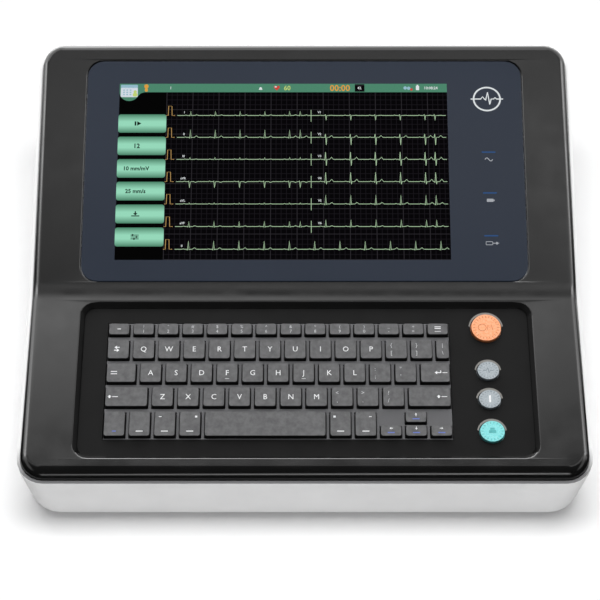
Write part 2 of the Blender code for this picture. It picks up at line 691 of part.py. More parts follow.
# ---------------------------------------------------------------- electronics in the base
def make_electronics():
    floor = BASE_FLOOR_TOP
    x, y = BATTERY_MID
    hatch_x, hatch_y = (BATTERY_HATCH[0] - 2 * GAP, BATTERY_HATCH[1] - 2 * GAP)
    door = box("battery_door", around(x, hatch_x), around(y, hatch_y), (FOOT_HEIGHT, floor), "pale_grey")
    edge = x - hatch_x / 2
    tongue = [
        (edge - 3 * MM, floor + GAP),
        (edge - 3 * MM, floor + 1.8 * MM),
        (edge + 4 * MM, floor + 1.8 * MM),
        (edge + 4 * MM, FOOT_HEIGHT + 1 * MM),
        (edge + 1 * MM, FOOT_HEIGHT + 1 * MM),
        (edge + 1 * MM, floor + GAP),
    ]
    for i, dy in enumerate((-16 * MM, 16 * MM)):
        join(door, object_from(f"tongue_{i}", extruded(tongue, *around(y + dy, 8 * MM), "Y")))
    screw_at = (DOOR_SCREW_X, y)
    below = (0, FOOT_HEIGHT + 1.3 * MM)
    cut(
        door,
        cylinder("door_screw_hole", 1.8 * MM, 0, 20 * MM, screw_at, steps=16),
        cylinder("door_head_hole", 3.1 * MM, *below, screw_at, steps=16),
    )
    head_z = (0.1 * MM, 1.2 * MM)
    screw = cylinder(
        "battery_door_screw", 2.8 * MM, *head_z, colour="steel", steps=16, location=(*screw_at, FOOT_HEIGHT)
    )
    shank = (FOOT_HEIGHT + 0.5 * MM, FOOT_HEIGHT + 8 * MM)
    join(screw, cylinder("door_screw_shank", 1.3 * MM, *shank, screw_at, steps=10))
    slot_z = (0, FOOT_HEIGHT + 0.7 * MM)
    cut(screw, box("door_screw_slot", around(screw_at[0], 0.9 * MM), around(y, 3.6 * MM), slot_z))
    pack_x, pack_y = around(x - 4 * MM, 104 * MM), around(y, 50 * MM)
    pack = box("battery_pack", pack_x, pack_y, (floor + 2.2 * MM, floor + 21 * MM), "battery_blue")
    bevelled(pack, 2 * MM, 2)
    low = floor + 8 * MM
    board_z = (low, low + BOARD_THICK)
    board = box("main_board", (-25 * MM, 138 * MM), (-62 * MM, 8 * MM), board_z, "circuit_green")
    chip = box("processor", (40 * MM, 64 * MM), (-40 * MM, -16 * MM), (low + 1 * MM, low + 5 * MM))
    heat_sink = box("heat_sink", (80 * MM, 116 * MM), (-48 * MM, -20 * MM), (low + 1 * MM, low + 12 * MM))
    join(board, chip, heat_sink)
    supply_z = (floor + 2 * MM, floor + 34 * MM)
    supply = box("power_supply", (118 * MM, 166 * MM), (40 * MM, 108 * MM), supply_z, "steel")
    bevelled(supply, 1.5 * MM, 1)
    top = SOCKET_FLOOR - GAP
    board_z = (top - BOARD_THICK, top)
    board = box("ecg_input_board", (-60 * MM, 108 * MM), (97 * MM, 148 * MM), board_z, "circuit_green")
    join(board, box("shield_can", (-52 * MM, 0), (102 * MM, 130 * MM), (top - 1 * MM, top + 7 * MM)))


# ---------------------------------------------------------------- rear sockets
def socket_body(name, depth, colour):
    _, x, z, width, height = next(s for s in REAR_SOCKETS if s[0] == name)
    face = around(x, width)
    return box(name, face, (REAR - depth, REAR), around(z, height), colour), x, z


def make_sockets():
    inlet, x, z = socket_body("mains_inlet", 24 * MM, "black_plastic")
    cavity_z = z - 10 * MM
    mouth_y = (REAR - 18 * MM, REAR + 1 * MM)
    cut(inlet, box("inlet_cavity", around(x, 24.5 * MM), mouth_y, around(cavity_z, 16.5 * MM)))
    pins = ((-7 * MM, 1.5 * MM), (0, -2.5 * MM), (7 * MM, 1.5 * MM))
    for i, (dx, dz) in enumerate(pins):
        blade_y = (REAR - 19 * MM, REAR - BLADE_INSET)
        blade = box(f"blade_{i}", around(x + dx, 2 * MM), blade_y, around(cavity_z + dz, 4 * MM))
        join(inlet, blade)
    well_x, well_z = around(x, ROCKER[0] + 1 * MM), around(ROCKER_MID_Z, ROCKER[1] + 1 * MM)
    cut(inlet, box("rocker_well", well_x, (REAR - 12 * MM, REAR + 1 * MM), well_z))
    half = ROCKER[1] / 2
    section = [
        (-5 * MM, -half * 0.5),
        (-5 * MM, half * 0.5),
        (1 * MM, half),
        (2.6 * MM, half),
        (1.4 * MM, 0),
        (2.6 * MM, -half),
        (1 * MM, -half),
    ]
    rocker = object_from(
        "mains_switch_rocker",
        extruded(section, -ROCKER[0] / 2, ROCKER[0] / 2, "X"),
        "black_plastic",
        location=(x, REAR - ROCKER_PIVOT_DEPTH, ROCKER_MID_Z),
    )
    rocker.rotation_euler = (-ROCKER_TILT, 0, 0)
    bevelled(rocker, 0.3 * MM, 1, 60)

    ecg, x, z = socket_body("ecg_socket", 12 * MM, "steel")
    d_shape = [(-17, -4.6), (17, -4.6), (18.6, 4.6), (-18.6, 4.6)]
    outer = [(x + a * MM, z + b * MM) for a, b in d_shape]
    inner = [(x + a * 0.94 * MM, z + b * 0.86 * MM) for a, b in d_shape]
    cut(ecg, object_from("d_groove", extruded(outer, REAR - 5 * MM, REAR + 1 * MM, "Y")))
    join(ecg, object_from("d_insert", extruded(inner, REAR - 6 * MM, REAR - 0.5 * MM, "Y")))

    usb, x, z = socket_body("usb_socket", 16 * MM, "steel")
    for side in (-1, 1):
        bay = around(z + side * USB_PITCH / 2, USB_MOUTH[1])
        cut(usb, box(f"usb_bay_{side}", around(x, USB_MOUTH[0]), (REAR - 12 * MM, REAR + 1 * MM), bay))

    lan, x, _ = socket_body("lan_socket", 18 * MM, "steel")
    mouth_y = (REAR - 13 * MM, REAR + 1 * MM)
    cut(lan, box("lan_bay", around(x, LAN_MOUTH[0]), mouth_y, around(LAN_MOUTH_Z, LAN_MOUTH[1])))

    x, z = GROUND_AT
    stud = cylinder("ground_terminal", 3 * MM, REAR - 10 * MM, REAR, (x, z), "Y", "steel")
    join(stud, cylinder("ground_nut", 6 * MM, REAR - 8 * MM, REAR - 4 * MM, (x, z), "Y", steps=6))


# ---------------------------------------------------------------- chart recorder
def gear_outline(teeth, phase):
    """Straight-flanked teeth, thin enough at the pitch line to run with backlash."""
    radius = teeth * GEAR_MODULE / 2
    root, tip = radius - 1.15 * GEAR_MODULE, radius + 0.85 * GEAR_MODULE
    pitch = 2 * math.pi / teeth
    points = []
    for i in range(teeth):
        middle = phase + i * pitch
        for offset, r in ((-0.29, root), (-0.12, tip), (0.12, tip), (0.29, root)):
            angle = middle + offset * pitch
            points.append((r * math.cos(angle), r * math.sin(angle)))
    return points


def gear(name, centre, teeth, phase, bore, x=GEAR_X):
    """A gear about an axis along X, with its origin on the axis."""
    wheel = object_from(
        name, extruded(gear_outline(teeth, phase), *x, "X"), "gear_white", location=(0, *centre)
    )
    if bore:
        cut(wheel, cylinder(f"{name}_bore", bore, x[0] - 1 * MM, x[1] + 1 * MM, centre, "X"))
    return wheel


def make_drive():
    reach = GEAR_MODULE * (PLATEN_TEETH + IDLER_TEETH) / 2
    platen_at = PLATEN[:2]
    idler_at = (platen_at[0] - reach, platen_at[1])
    # The idler shows the platen gear a tooth, and the platen gear shows it a gap.
    phase = math.pi + math.pi / PLATEN_TEETH
    gear("platen_gear", platen_at, PLATEN_TEETH, phase, PLATEN_SHAFT_RADIUS + GAP)
    gear("idler_gear", idler_at, IDLER_TEETH, 0, 1.5 * MM + GAP)
    reach = GEAR_MODULE * (IDLER_TEETH + PINION_TEETH) / 2
    pinion_at = (
        idler_at[0] + reach * math.cos(PINION_DIRECTION),
        idler_at[1] + reach * math.sin(PINION_DIRECTION),
    )
    past_tooth = (PINION_DIRECTION * IDLER_TEETH / (2 * math.pi)) % 1
    pinion_phase = PINION_DIRECTION + math.pi + (past_tooth + 0.5) * 2 * math.pi / PINION_TEETH
    gear("motor_pinion", pinion_at, PINION_TEETH, pinion_phase, 1.1 * MM + GAP)

    motor_x = (GEAR_X[1] + 2.5 * MM, GEAR_X[1] + 22 * MM)
    motor = cylinder("recorder_motor", 11 * MM, *motor_x, pinion_at, "X", "steel", steps=24)
    join(motor, cylinder("motor_shaft", 1.1 * MM, GEAR_X[0], motor_x[0] + 1 * MM, pinion_at, "X", steps=10))
    smooth(motor)
    return idler_at


def make_recorder(idler_at):
    low_x, high_x = PAPER_X
    plate = FRAME_PLATE
    outer_x = (low_x - 3.5 * MM, high_x + 3.5 * MM)
    front, back = RECORDER_FRAME_Y
    section = [
        (front, RECORDER_FRAME_Z),
        (back, RECORDER_FRAME_Z),
        (back, RECORDER_FRAME_TOP),
        (back - 8 * MM, RECORDER_FRAME_TOP),
        (front, 75 * MM),
    ]
    frame = object_from("recorder_frame", extruded(section, *outer_x, "X"), "black_plastic")
    inner_x = (outer_x[0] + plate, outer_x[1] - plate)
    bay_z = (RECORDER_FRAME_Z + plate, 100 * MM)
    cut(frame, box("paper_bay", inner_x, (front + plate, back + 1 * MM), bay_z))
    idler_pin = cylinder("idler_pin", 1.5 * MM, outer_x[1] - 1 * MM, GEAR_X[1], idler_at, "X", steps=10)
    join(frame, idler_pin)

    head_y = (PLATEN[0] - PLATEN[2] - 0.4 * MM - 7.5 * MM, PLATEN[0] - PLATEN[2] - 0.4 * MM)
    head_x = (inner_x[0] + GAP, inner_x[1] - GAP)
    head = box("thermal_print_head", head_x, head_y, PRINT_HEAD_Z, "steel")
    bevelled(head, 0.8 * MM, 1)

    y, z, radius = PAPER_ROLL
    roll = cylinder(
        "paper_roll", radius, low_x + 1 * MM, high_x - 1 * MM, axis="X", colour="paper", steps=40,
        location=(0, y, z),
    )
    core = cylinder("core", PAPER_CORE_RADIUS, low_x, high_x, (y, z), "X", steps=24)
    cut(roll, core)
    smooth(roll)
    spindle = cylinder(
        "paper_spindle", PAPER_CORE_RADIUS - GAP, low_x - 0.8 * MM, high_x + 0.8 * MM, axis="X",
        colour="gear_white", steps=24, location=(0, y, z),
    )
    smooth(spindle)


def make_door():
    gap = 0.5 * MM
    panel_x = (DOOR_X[0] + gap, DOOR_X[1] - gap)
    panel_z = DOOR_Z
    hinge = empty("door_hinge_axis", (0, *DOOR_HINGE))
    to_hinge = Matrix.Translation((0, -DOOR_HINGE[0], -DOOR_HINGE[1]))

    def on_door(bm):
        bmesh.ops.transform(bm, matrix=to_hinge, verts=bm.verts)
        return bm

    panel = on_door(block(panel_x, (REAR - 2.4 * MM, REAR), panel_z))
    door = object_from("recorder_door", panel, "pale_grey", hinge)
    ear_y = (PLATEN[0] - 6 * MM, REAR - 1 * MM)
    ear_section = [
        (ear_y[0], PLATEN[1] - 7 * MM),
        (ear_y[1], PLATEN[1] - 18 * MM),
        (ear_y[1], PLATEN[1] + 4 * MM),
        (ear_y[0], PLATEN[1] + 4 * MM),
    ]
    for side, x in (("left", PAPER_X[0] - 3.5 * MM), ("right", PAPER_X[1] + 1.5 * MM)):
        ear = on_door(extruded(ear_section, x, x + 2 * MM, "X"))
        join(door, object_from(f"ear_{side}", ear, None, hinge))
    y, z = DOOR_HINGE
    knuckle_y, knuckle_z = (y - 3 * MM, REAR - 1 * MM), (z - 2 * MM, z + 3 * MM)
    for i, x in enumerate((DOOR_X[0] + 10 * MM, (DOOR_X[0] + DOOR_X[1]) / 2, DOOR_X[1] - 10 * MM)):
        knuckle = on_door(block(around(x, 10 * MM), knuckle_y, knuckle_z))
        join(door, object_from(f"knuckle_{i}", knuckle, None, hinge))
    reach = (DOOR_X[0] - 5 * MM, DOOR_X[1] + 5 * MM)
    cut(door, cylinder("hinge_bore", HINGE_ROD_RADIUS + GAP, *reach, DOOR_HINGE, "X", steps=16))
    cut(door, cylinder("shaft_bore", PLATEN_SHAFT_RADIUS + GAP, *reach, PLATEN[:2], "X", steps=16))
    latch_x, latch_z = around(LATCH_MID[0], LATCH_SIZE[0]), around(LATCH_MID[1], LATCH_SIZE[1])
    recess_z = (latch_z[0] - LATCH_TRAVEL - 2 * GAP, latch_z[1] + 2 * GAP)
    recess_x = (latch_x[0] - 2 * GAP, latch_x[1] + 2 * GAP)
    cut(door, box("latch_recess", recess_x, (REAR - 5 * MM, REAR + 1 * MM), recess_z))
    latch = box("door_latch", latch_x, (REAR - 3 * MM, REAR - 0.2 * MM), latch_z, "charcoal")
    middle_x, middle_z = LATCH_MID
    flange_x, flange_z = around(middle_x, LATCH_SIZE[0] + 6 * MM), around(middle_z, LATCH_SIZE[1] + 10 * MM)
    join(latch, box("latch_flange", flange_x, (REAR - 4.2 * MM, REAR - 2.4 * MM - GAP), flange_z))
    groove_x, groove_z = around(middle_x, 18 * MM), around(middle_z, 2.5 * MM)
    cut(latch, box("thumb_groove", groove_x, (REAR - 1 * MM, REAR + 1 * MM), groove_z))

    rod_x = (DOOR_X[0] - 4.4 * MM, DOOR_X[1] + 4.4 * MM)
    where = (0, *DOOR_HINGE)
    rod = cylinder(
        "door_hinge_rod", HINGE_ROD_RADIUS, *rod_x, axis="X", colour="steel", steps=16, location=where
    )
    smooth(rod)

    platen = cylinder(
        "platen_roller", PLATEN[2], PAPER_X[0] - 0.5 * MM, PAPER_X[1] + 0.5 * MM, axis="X", colour="rubber",
        steps=32, location=(0, *PLATEN[:2]),
    )
    shaft = (PAPER_X[0] - 5 * MM, GEAR_X[1] + 0.5 * MM)
    join(platen, cylinder("platen_shaft", PLATEN_SHAFT_RADIUS, *shaft, PLATEN[:2], "X", steps=16))
    smooth(platen)


clear_scene()
machine = collection("ecg_machine")
cutters = collection("cutters", rendered=False)
crease = (0, CREASE_Y, CREASE_Z)
deck_plane = empty("deck_plane", crease, DECK_TILT)
screen_plane = empty("screen_plane", crease, SCREEN_TILT)
make_base()
make_cover()
make_feet_and_screws()
make_display()
make_tray()
make_keyboard()
make_buttons()
make_electronics()
make_sockets()
make_recorder(make_drive())
make_door()
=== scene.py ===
"""Looks for the table-top ECG machine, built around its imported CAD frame.

Metres, +Z up, the operator at -Y.
"""

import math

import bmesh
import bpy
from mathutils import Matrix, Vector


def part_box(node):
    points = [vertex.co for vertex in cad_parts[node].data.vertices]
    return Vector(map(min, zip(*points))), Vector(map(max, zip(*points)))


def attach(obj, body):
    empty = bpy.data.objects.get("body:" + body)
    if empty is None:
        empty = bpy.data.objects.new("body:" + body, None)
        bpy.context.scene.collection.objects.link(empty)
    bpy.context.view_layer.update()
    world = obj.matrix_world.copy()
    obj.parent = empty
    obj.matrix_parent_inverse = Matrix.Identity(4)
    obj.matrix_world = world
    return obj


MM = 0.001
FILM = 0.03 * MM  # printed marks and lit screen layers are this thick

# The cover's walls around the keyboard well stand in its shade, except the one at its front; the cover's
# material paints that shade by masking off their reflection
WELL_MIDDLE_X = 0.9 * MM
WELL_HALF_WIDTH = 147.3 * MM
WELL_FRONT_WALL_Y = -134.6 * MM
WELL_BACK_Y = -30.9 * MM

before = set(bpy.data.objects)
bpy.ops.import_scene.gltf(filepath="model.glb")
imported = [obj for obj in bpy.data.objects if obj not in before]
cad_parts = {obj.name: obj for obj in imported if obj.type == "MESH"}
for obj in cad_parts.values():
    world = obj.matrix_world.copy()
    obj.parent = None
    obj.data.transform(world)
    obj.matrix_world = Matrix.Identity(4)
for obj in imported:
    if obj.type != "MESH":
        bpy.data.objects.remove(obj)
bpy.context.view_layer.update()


# ---------------------------------------------------------------- node materials
def linear(r, g, b):
    """An sRGB colour, 0 to 255, as linear RGBA."""
    channels = (((c / 255 + 0.055) / 1.055) ** 2.4 if c > 10 else c / 255 / 12.92 for c in (r, g, b))
    return (*channels, 1.0)


class Graph:
    """Short calls that add nodes to a node tree."""

    def __init__(self, tree):
        self.nodes, self.links = tree.nodes, tree.links

    def remap(self, value, low, high, start=0.3, end=0.7):
        node = self.nodes.new("ShaderNodeMapRange")
        node.inputs["From Min"].default_value = start
        node.inputs["From Max"].default_value = end
        node.inputs["To Min"].default_value = low
        node.inputs["To Max"].default_value = high
        self.links.new(value, node.inputs["Value"])
        return node.outputs["Result"]

    def maths(self, operation, a, b=0.0, c=0.0):
        node = self.nodes.new("ShaderNodeMath")
        node.operation = operation
        for i, value in enumerate((a, b, c)):
            if isinstance(value, (int, float)):
                node.inputs[i].default_value = value
            else:
                self.links.new(value, node.inputs[i])
        return node.outputs[0]

    def mix(self, factor, a, b):
        node = self.nodes.new("ShaderNodeMix")
        node.data_type = "RGBA"
        sockets = [s for s in node.inputs if s.type == "RGBA"]
        for socket, value in zip(sockets, (a, b)):
            if isinstance(value, tuple):
                socket.default_value = value
            else:
                self.links.new(value, socket)
        self.links.new(factor, node.inputs[0])
        return [s for s in node.outputs if s.type == "RGBA"][0]


class Shader(Graph):
    """A Principled material and short calls that add its detail."""

    def __init__(self, name, colour, roughness=0.4, metallic=0.0, **sockets):
        self.material = bpy.data.materials.new(name)
        self.material.use_nodes = True
        super().__init__(self.material.node_tree)
        self.base = self.nodes["Principled BSDF"]
        self.base.inputs["Base Color"].default_value = colour
        self.base.inputs["Roughness"].default_value = roughness
        self.base.inputs["Metallic"].default_value = metallic
        for socket, value in sockets.items():
            self.base.inputs[socket.replace("_", " ")].default_value = value
        self.colour, self.roughness = colour, roughness
        self.position = self.nodes.new("ShaderNodeTexCoord").outputs["Object"]

    def noise(self, scale, detail=3.0, stretch=None):
        node = self.nodes.new("ShaderNodeTexNoise")
        node.inputs["Scale"].default_value = scale
        node.inputs["Detail"].default_value = detail
        where = self.position
        if stretch:
            mapping = self.nodes.new("ShaderNodeMapping")
            mapping.inputs["Scale"].default_value = stretch
            self.links.new(where, mapping.inputs["Vector"])
            where = mapping.outputs["Vector"]
        self.links.new(where, node.inputs["Vector"])
        return node.outputs["Fac"]

    def vary(self, amount, scale):
        """Slow, faint unevenness of the colour."""
        low, high = (tuple(c * (1 + s * amount) for c in self.colour[:3]) + (1.0,) for s in (-1, 1))
        self.paint(self.mix(self.remap(self.noise(scale), 0, 1), low, high))
        return self

    def paint(self, socket):
        self.links.new(socket, self.base.inputs["Base Color"])
        return self

    def smudge(self, amount, scale):
        """Handled areas are a little more or less glossy."""
        value = self.remap(self.noise(scale, 4), self.roughness - amount, self.roughness + amount)
        self.links.new(value, self.base.inputs["Roughness"])
        return self

    def grain(self, scale, depth, stretch=None, strength=0.35):
        """Fine moulded texture as bump."""
        bump = self.nodes.new("ShaderNodeBump")
        bump.inputs["Strength"].default_value = strength
        bump.inputs["Distance"].default_value = depth
        self.links.new(self.noise(scale, 2, stretch), bump.inputs["Height"])
        self.links.new(bump.outputs["Normal"], self.base.inputs["Normal"])
        return self

    def facing_up(self, low=0.75, high=0.9):
        """1 on faces that look up, 0 on walls."""
        normal = self.nodes.new("ShaderNodeNewGeometry").outputs["Normal"]
        split = self.nodes.new("ShaderNodeSeparateXYZ")
        self.links.new(normal, split.inputs["Vector"])
        return self.remap(split.outputs["Z"], 0, 1, low, high)

    def axis(self, name):
        split = self.nodes.new("ShaderNodeSeparateXYZ")
        self.links.new(self.position, split.inputs["Vector"])
        return split.outputs[name]

    def glow(self, colour, strength=1.0):
        if isinstance(colour, tuple):
            self.base.inputs["Emission Color"].default_value = colour
        else:
            self.links.new(colour, self.base.inputs["Emission Color"])
        self.base.inputs["Emission Strength"].default_value = strength
        return self


def plastic(name, colour, roughness=0.4, grain=2200, depth=0.03 * MM, vary=0.08, **sockets):
    made = Shader(name, colour, roughness, **sockets)
    return made.vary(vary, 35).smudge(0.05, 60).grain(grain, depth)


def metal(name, colour, roughness=0.28, stretch=(1, 30, 30)):
    made = Shader(name, colour, roughness, 1.0)
    return made.vary(0.08, 120).smudge(0.07, 90).grain(900, 0.01 * MM, stretch)


def light(name, colour, strength=1.0):
    """A lit part of the screen. Faint cells of the panel show in it."""
    made = Shader(name, (0.0, 0.0, 0.0, 1.0), 0.5, Specular_IOR_Level=0.0)
    dim = tuple(c * 0.9 for c in colour[:3]) + (1.0,)
    return made.glow(made.mix(made.remap(made.noise(1500, 1), 0, 1), dim, colour), strength)


def ink(name, colour, roughness=0.55):
    return Shader(name, colour, roughness).vary(0.12, 900).grain(3000, 0.01 * MM)


def looks():
    made = {}
    cover = plastic("cover_plastic", linear(17, 17, 17), 0.16, grain=1600, depth=0.004 * MM)
    across = cover.maths("ABSOLUTE", cover.maths("SUBTRACT", cover.axis("X"), WELL_MIDDLE_X))
    sloping = cover.maths("SUBTRACT", 1.0, cover.facing_up(0.9, 0.96))
    painted_well_shade = cover.maths("MULTIPLY", sloping, cover.maths("LESS_THAN", across, WELL_HALF_WIDTH))
    for operation, y in (("GREATER_THAN", WELL_FRONT_WALL_Y), ("LESS_THAN", WELL_BACK_Y)):
        painted_well_shade = cover.maths("MULTIPLY", painted_well_shade, cover.maths(operation, cover.axis("Y"), y))
    # Painted shade: the well's sloping walls lose nearly all their reflection
    cover.links.new(cover.remap(painted_well_shade, 0.5, 0.03, 0, 1), cover.base.inputs["Specular IOR Level"])
    made["cover"] = cover
    made["housing"] = Shader("housing_plastic", linear(233, 233, 233), 0.45)
    housing = made["housing"]
    body = housing.mix(housing.remap(housing.noise(30), 0, 1), linear(238, 238, 238), linear(244, 244, 244))
    # Painted shade: the upward ledge along the front is painted dark grey, standing in for the shadow under
    # the black cover's front edge
    front = housing.remap(housing.axis("Y"), 1, 0, -0.146, -0.128)
    painted_ledge_shade = housing.maths("MULTIPLY", housing.facing_up(0.8, 0.97), front)
    housing.paint(housing.mix(painted_ledge_shade, body, linear(112, 112, 113)))
    housing.smudge(0.05, 60).grain(2200, 0.02 * MM)
    glass = Shader("screen_glass", linear(43, 49, 60), 0.1, Specular_IOR_Level=0.12)
    made["glass"] = glass.vary(0.05, 9).smudge(0.03, 25)
    made["tray"] = plastic(
        "tray_plastic", linear(12, 12, 12), 0.6, grain=1400, depth=0.04 * MM, Specular_IOR_Level=0.12
    )

    keys = Shader("key_plastic", linear(92, 92, 94), 0.6, Specular_IOR_Level=0.2)
    top = keys.mix(keys.remap(keys.noise(300), 0, 1), linear(86, 86, 87), linear(104, 104, 105))
    # Painted shade: the keys' sides are painted near black and only their tops keep the key colour
    keys.paint(keys.mix(keys.facing_up(0.72, 0.93), linear(10, 10, 10), top))
    made["keys"] = keys.smudge(0.06, 70).grain(2600, 0.04 * MM)
    made["key_frame"] = plastic("key_frame_plastic", linear(82, 82, 84), 0.5)

    for name, colour in (
        ("orange", (240, 146, 92)),
        ("button_grey", (138, 148, 154)),
        ("teal", (104, 205, 205)),
    ):
        button = Shader(f"{name}_button", linear(*colour), 0.36, Coat_Weight=0.25, Coat_Roughness=0.2)
        # Painted shade: the buttons' sides take half their colour's brightness, darker than their tops
        dark = tuple(c * 0.5 for c in linear(*colour)[:3]) + (1.0,)
        paler = linear(*(c + (255 - c) * 0.3 for c in colour))
        speckled = button.mix(button.remap(button.noise(1400, 1), 0, 1), linear(*colour), paler)
        button.paint(button.mix(button.facing_up(0.55, 0.95), dark, speckled))
        made[name] = button.smudge(0.05, 200).grain(2400, 0.02 * MM)
        made[f"{name}_mark"] = ink(f"{name}_mark", tuple(c * 0.62 for c in linear(*colour)[:3]) + (1.0,))
    made["silver"] = metal("bright_trim", linear(206, 208, 210), 0.25)
    made["crescent"] = plastic("printed_silver", linear(128, 126, 122), 0.4, Specular_IOR_Level=0.3)
    made["steel"] = metal("plated_steel", linear(190, 192, 195))
    made["aluminium"] = metal("folded_aluminium", linear(170, 172, 174), 0.4)
    made["gold"] = metal("gold_contacts", linear(214, 176, 96), 0.25)
    made["rubber"] = plastic("rubber", linear(34, 34, 35), 0.85, grain=1200, depth=0.08 * MM)
    made["black"] = plastic("black_plastic", linear(24, 24, 25), 0.48)
    # Near black, used as painted shade for the ECG socket's pin holes
    made["hollow"] = plastic("painted_hole_shade", linear(8, 8, 8), 0.7)
    made["gear"] = plastic("acetal", linear(226, 223, 212), 0.4)
    made["battery"] = plastic("battery_sleeve", linear(38, 84, 150), 0.4)
    board = plastic("solder_mask", linear(16, 92, 52), 0.4, grain=700)
    made["board"] = board
    paper = Shader("chart_paper", linear(240, 236, 230), 0.85)
    paper.vary(0.03, 60).grain(500, 0.05 * MM, (1, 8, 8))
    made["paper"] = paper

    made["legend"] = ink("key_legend", linear(226, 227, 228))
    made["legend_dim"] = ink("dim_key_legend", linear(188, 189, 191))
    made["legend_blue"] = ink("blue_key_legend", linear(92, 112, 190))
    made["print"] = ink("grey_print", linear(112, 116, 120))
    made["white"] = light("white_light", linear(225, 230, 232))
    made["blue"] = light("blue_light", linear(50, 84, 132))
    made["dim_white"] = light("dim_white_light", linear(168, 172, 178))
    made["amber"] = light("amber_light", linear(226, 160, 66))
    made["pulse"] = light("pulse_amber", linear(190, 152, 92))
    made["trace"] = light("trace_green", linear(176, 206, 168))
    made["lime"] = light("lime_light", linear(196, 214, 120))
    made["red"] = light("red_light", linear(205, 70, 60))
    made["bar"] = light("bar_green", linear(78, 136, 110))
    made["sky"] = light("sky_light", linear(150, 190, 205))
    made["sheet"] = light("sheet_light", linear(214, 222, 232))
    made["dark_text"] = light("dark_text", linear(14, 26, 20))
    return made


# ---------------------------------------------------------------- planes and flat solids
class Plane:
    """A flat of a CAD node: origin in its middle, X to the right, Y up the slope, Z out of it."""

    def __init__(self, node):
        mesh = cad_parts[node].data
        areas = {}
        for face in mesh.polygons:
            if face.normal.z > 0.5:
                key = tuple(round(c, 3) for c in face.normal)
                areas[key] = areas.get(key, 0) + face.area
        normal = Vector(max(areas, key=areas.get)).normalized()
        rotation = Matrix(((1, 0, 0), (0, normal.z, normal.y), (0, -normal.y, normal.z)))
        self.matrix = rotation.to_4x4()
        low, high = self.spread(node)
        middle = Vector(((low.x + high.x) / 2, (low.y + high.y) / 2, high.z))
        self.matrix = Matrix.Translation(rotation @ middle) @ rotation.to_4x4()

    def spread(self, node):
        """Lowest and highest corner of a node in this plane's own axes."""
        back = self.matrix.inverted()
        points = [back @ v.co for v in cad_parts[node].data.vertices]
        return (Vector([f(p[i] for p in points) for i in range(3)]) for f in (min, max))


def prism(bm, outline, low, high):
    """Adds a closed flat solid with this outline to a bmesh."""
    lower = [bm.verts.new((x, y, low)) for x, y in outline]
    upper = [bm.verts.new((x, y, high)) for x, y in outline]
    faces = [bm.faces.new(lower), bm.faces.new(upper)]
    for i in range(len(outline)):
        j = (i + 1) % len(outline)
        faces.append(bm.faces.new((lower[i], lower[j], upper[j], upper[i])))
    bmesh.ops.recalc_face_normals(bm, faces=faces)


def ribbon(bm, points, width, low, high):
    """Adds a line of even width through some points."""
    sides = [[], []]
    for i, point in enumerate(points):
        before, after = Vector(points[max(i - 1, 0)]), Vector(points[min(i + 1, len(points) - 1)])
        along = after - before
        across = Vector((-along.y, along.x)).normalized() * width / 2
        for side, sign in zip(sides, (1, -1)):
            side.append(Vector(point) + across * sign)
    rings = []
    for left, right in zip(*sides):
        corners = ((left, low), (right, low), (right, high), (left, high))
        rings.append([bm.verts.new((p.x, p.y, z)) for p, z in corners])
    for a, b in zip(rings, rings[1:]):
        for i in range(4):
            j = (i + 1) % 4
            bm.faces.new((a[i], b[i], b[j], a[j]))
    bm.faces.new(rings[0])
    bm.faces.new(reversed(rings[-1]))


def piece(name, bm, matrix, look, body="machine"):
    mesh = bpy.data.meshes.new(name)
    bmesh.ops.recalc_face_normals(bm, faces=bm.faces)
    bm.to_mesh(mesh)
    bm.free()
    mesh.materials.append(look.material)
    made = bpy.data.objects.new(name, mesh)
    bpy.context.scene.collection.objects.link(made)
    made.matrix_world = matrix
    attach(made, body)
    return made


def rounded(width, height, corner=0.0, middle=(0, 0), steps=4):
    points = []
    corner = min(corner, width / 2, height / 2)
    for quarter, (sx, sy) in enumerate(((1, 1), (-1, 1), (-1, -1), (1, -1))):
        for i in range(steps + 1 if corner else 1):
            angle = math.pi / 2 * (quarter + i / steps)
            x = middle[0] + sx * (width / 2 - corner) + corner * math.cos(angle)
            points.append((x, middle[1] + sy * (height / 2 - corner) + corner * math.sin(angle)))
    return points


def arc(radius_x, radius_y, start, end, steps, middle=(0, 0)):
    """Points along part of an ellipse, its angles in degrees."""
    angles = [math.radians(start + (end - start) * i / steps) for i in range(steps + 1)]
    return [(middle[0] + radius_x * math.cos(a), middle[1] + radius_y * math.sin(a)) for a in angles]


def disc(radius, middle=(0, 0), steps=24):
    return arc(radius, radius, 0, 360 * (steps - 1) / steps, steps - 1, middle)


glyphs = {}


def lettering(bm, text, size, middle, low, high, weight=0.022):
    """Adds raised characters to a bmesh. size is the height of a capital, weight thickens the strokes."""
    if (text, weight) not in glyphs:
        curve = bpy.data.curves.new("glyph", "FONT")
        curve.body = text
        curve.align_x = "CENTER"
        curve.size = 1.45
        curve.extrude = 0.5
        curve.offset = weight
        curve.resolution_u = 2
        holder = bpy.data.objects.new("glyph", curve)
        bpy.context.scene.collection.objects.link(holder)
        shape = holder.evaluated_get(bpy.context.evaluated_depsgraph_get())
        glyphs[text, weight] = bpy.data.meshes.new_from_object(shape)
        bpy.data.objects.remove(holder)
    part = bmesh.new()
    part.from_mesh(glyphs[text, weight])
    bmesh.ops.remove_doubles(part, verts=part.verts, dist=1e-5)
    for vert in part.verts:
        x, y, z = vert.co
        vert.co = (middle[0] + x * size, middle[1] + (y - 0.5) * size, low + (z + 0.5) * (high - low))
    mesh = bpy.data.meshes.new("glyph_copy")
    part.to_mesh(mesh)
    part.free()
    bm.from_mesh(mesh)
    bpy.data.meshes.remove(mesh)


# ---------------------------------------------------------------- CAD nodes that stay
EDGE_ANGLE = math.radians(40)
COVER_EDGE_ANGLE = math.radians(28)


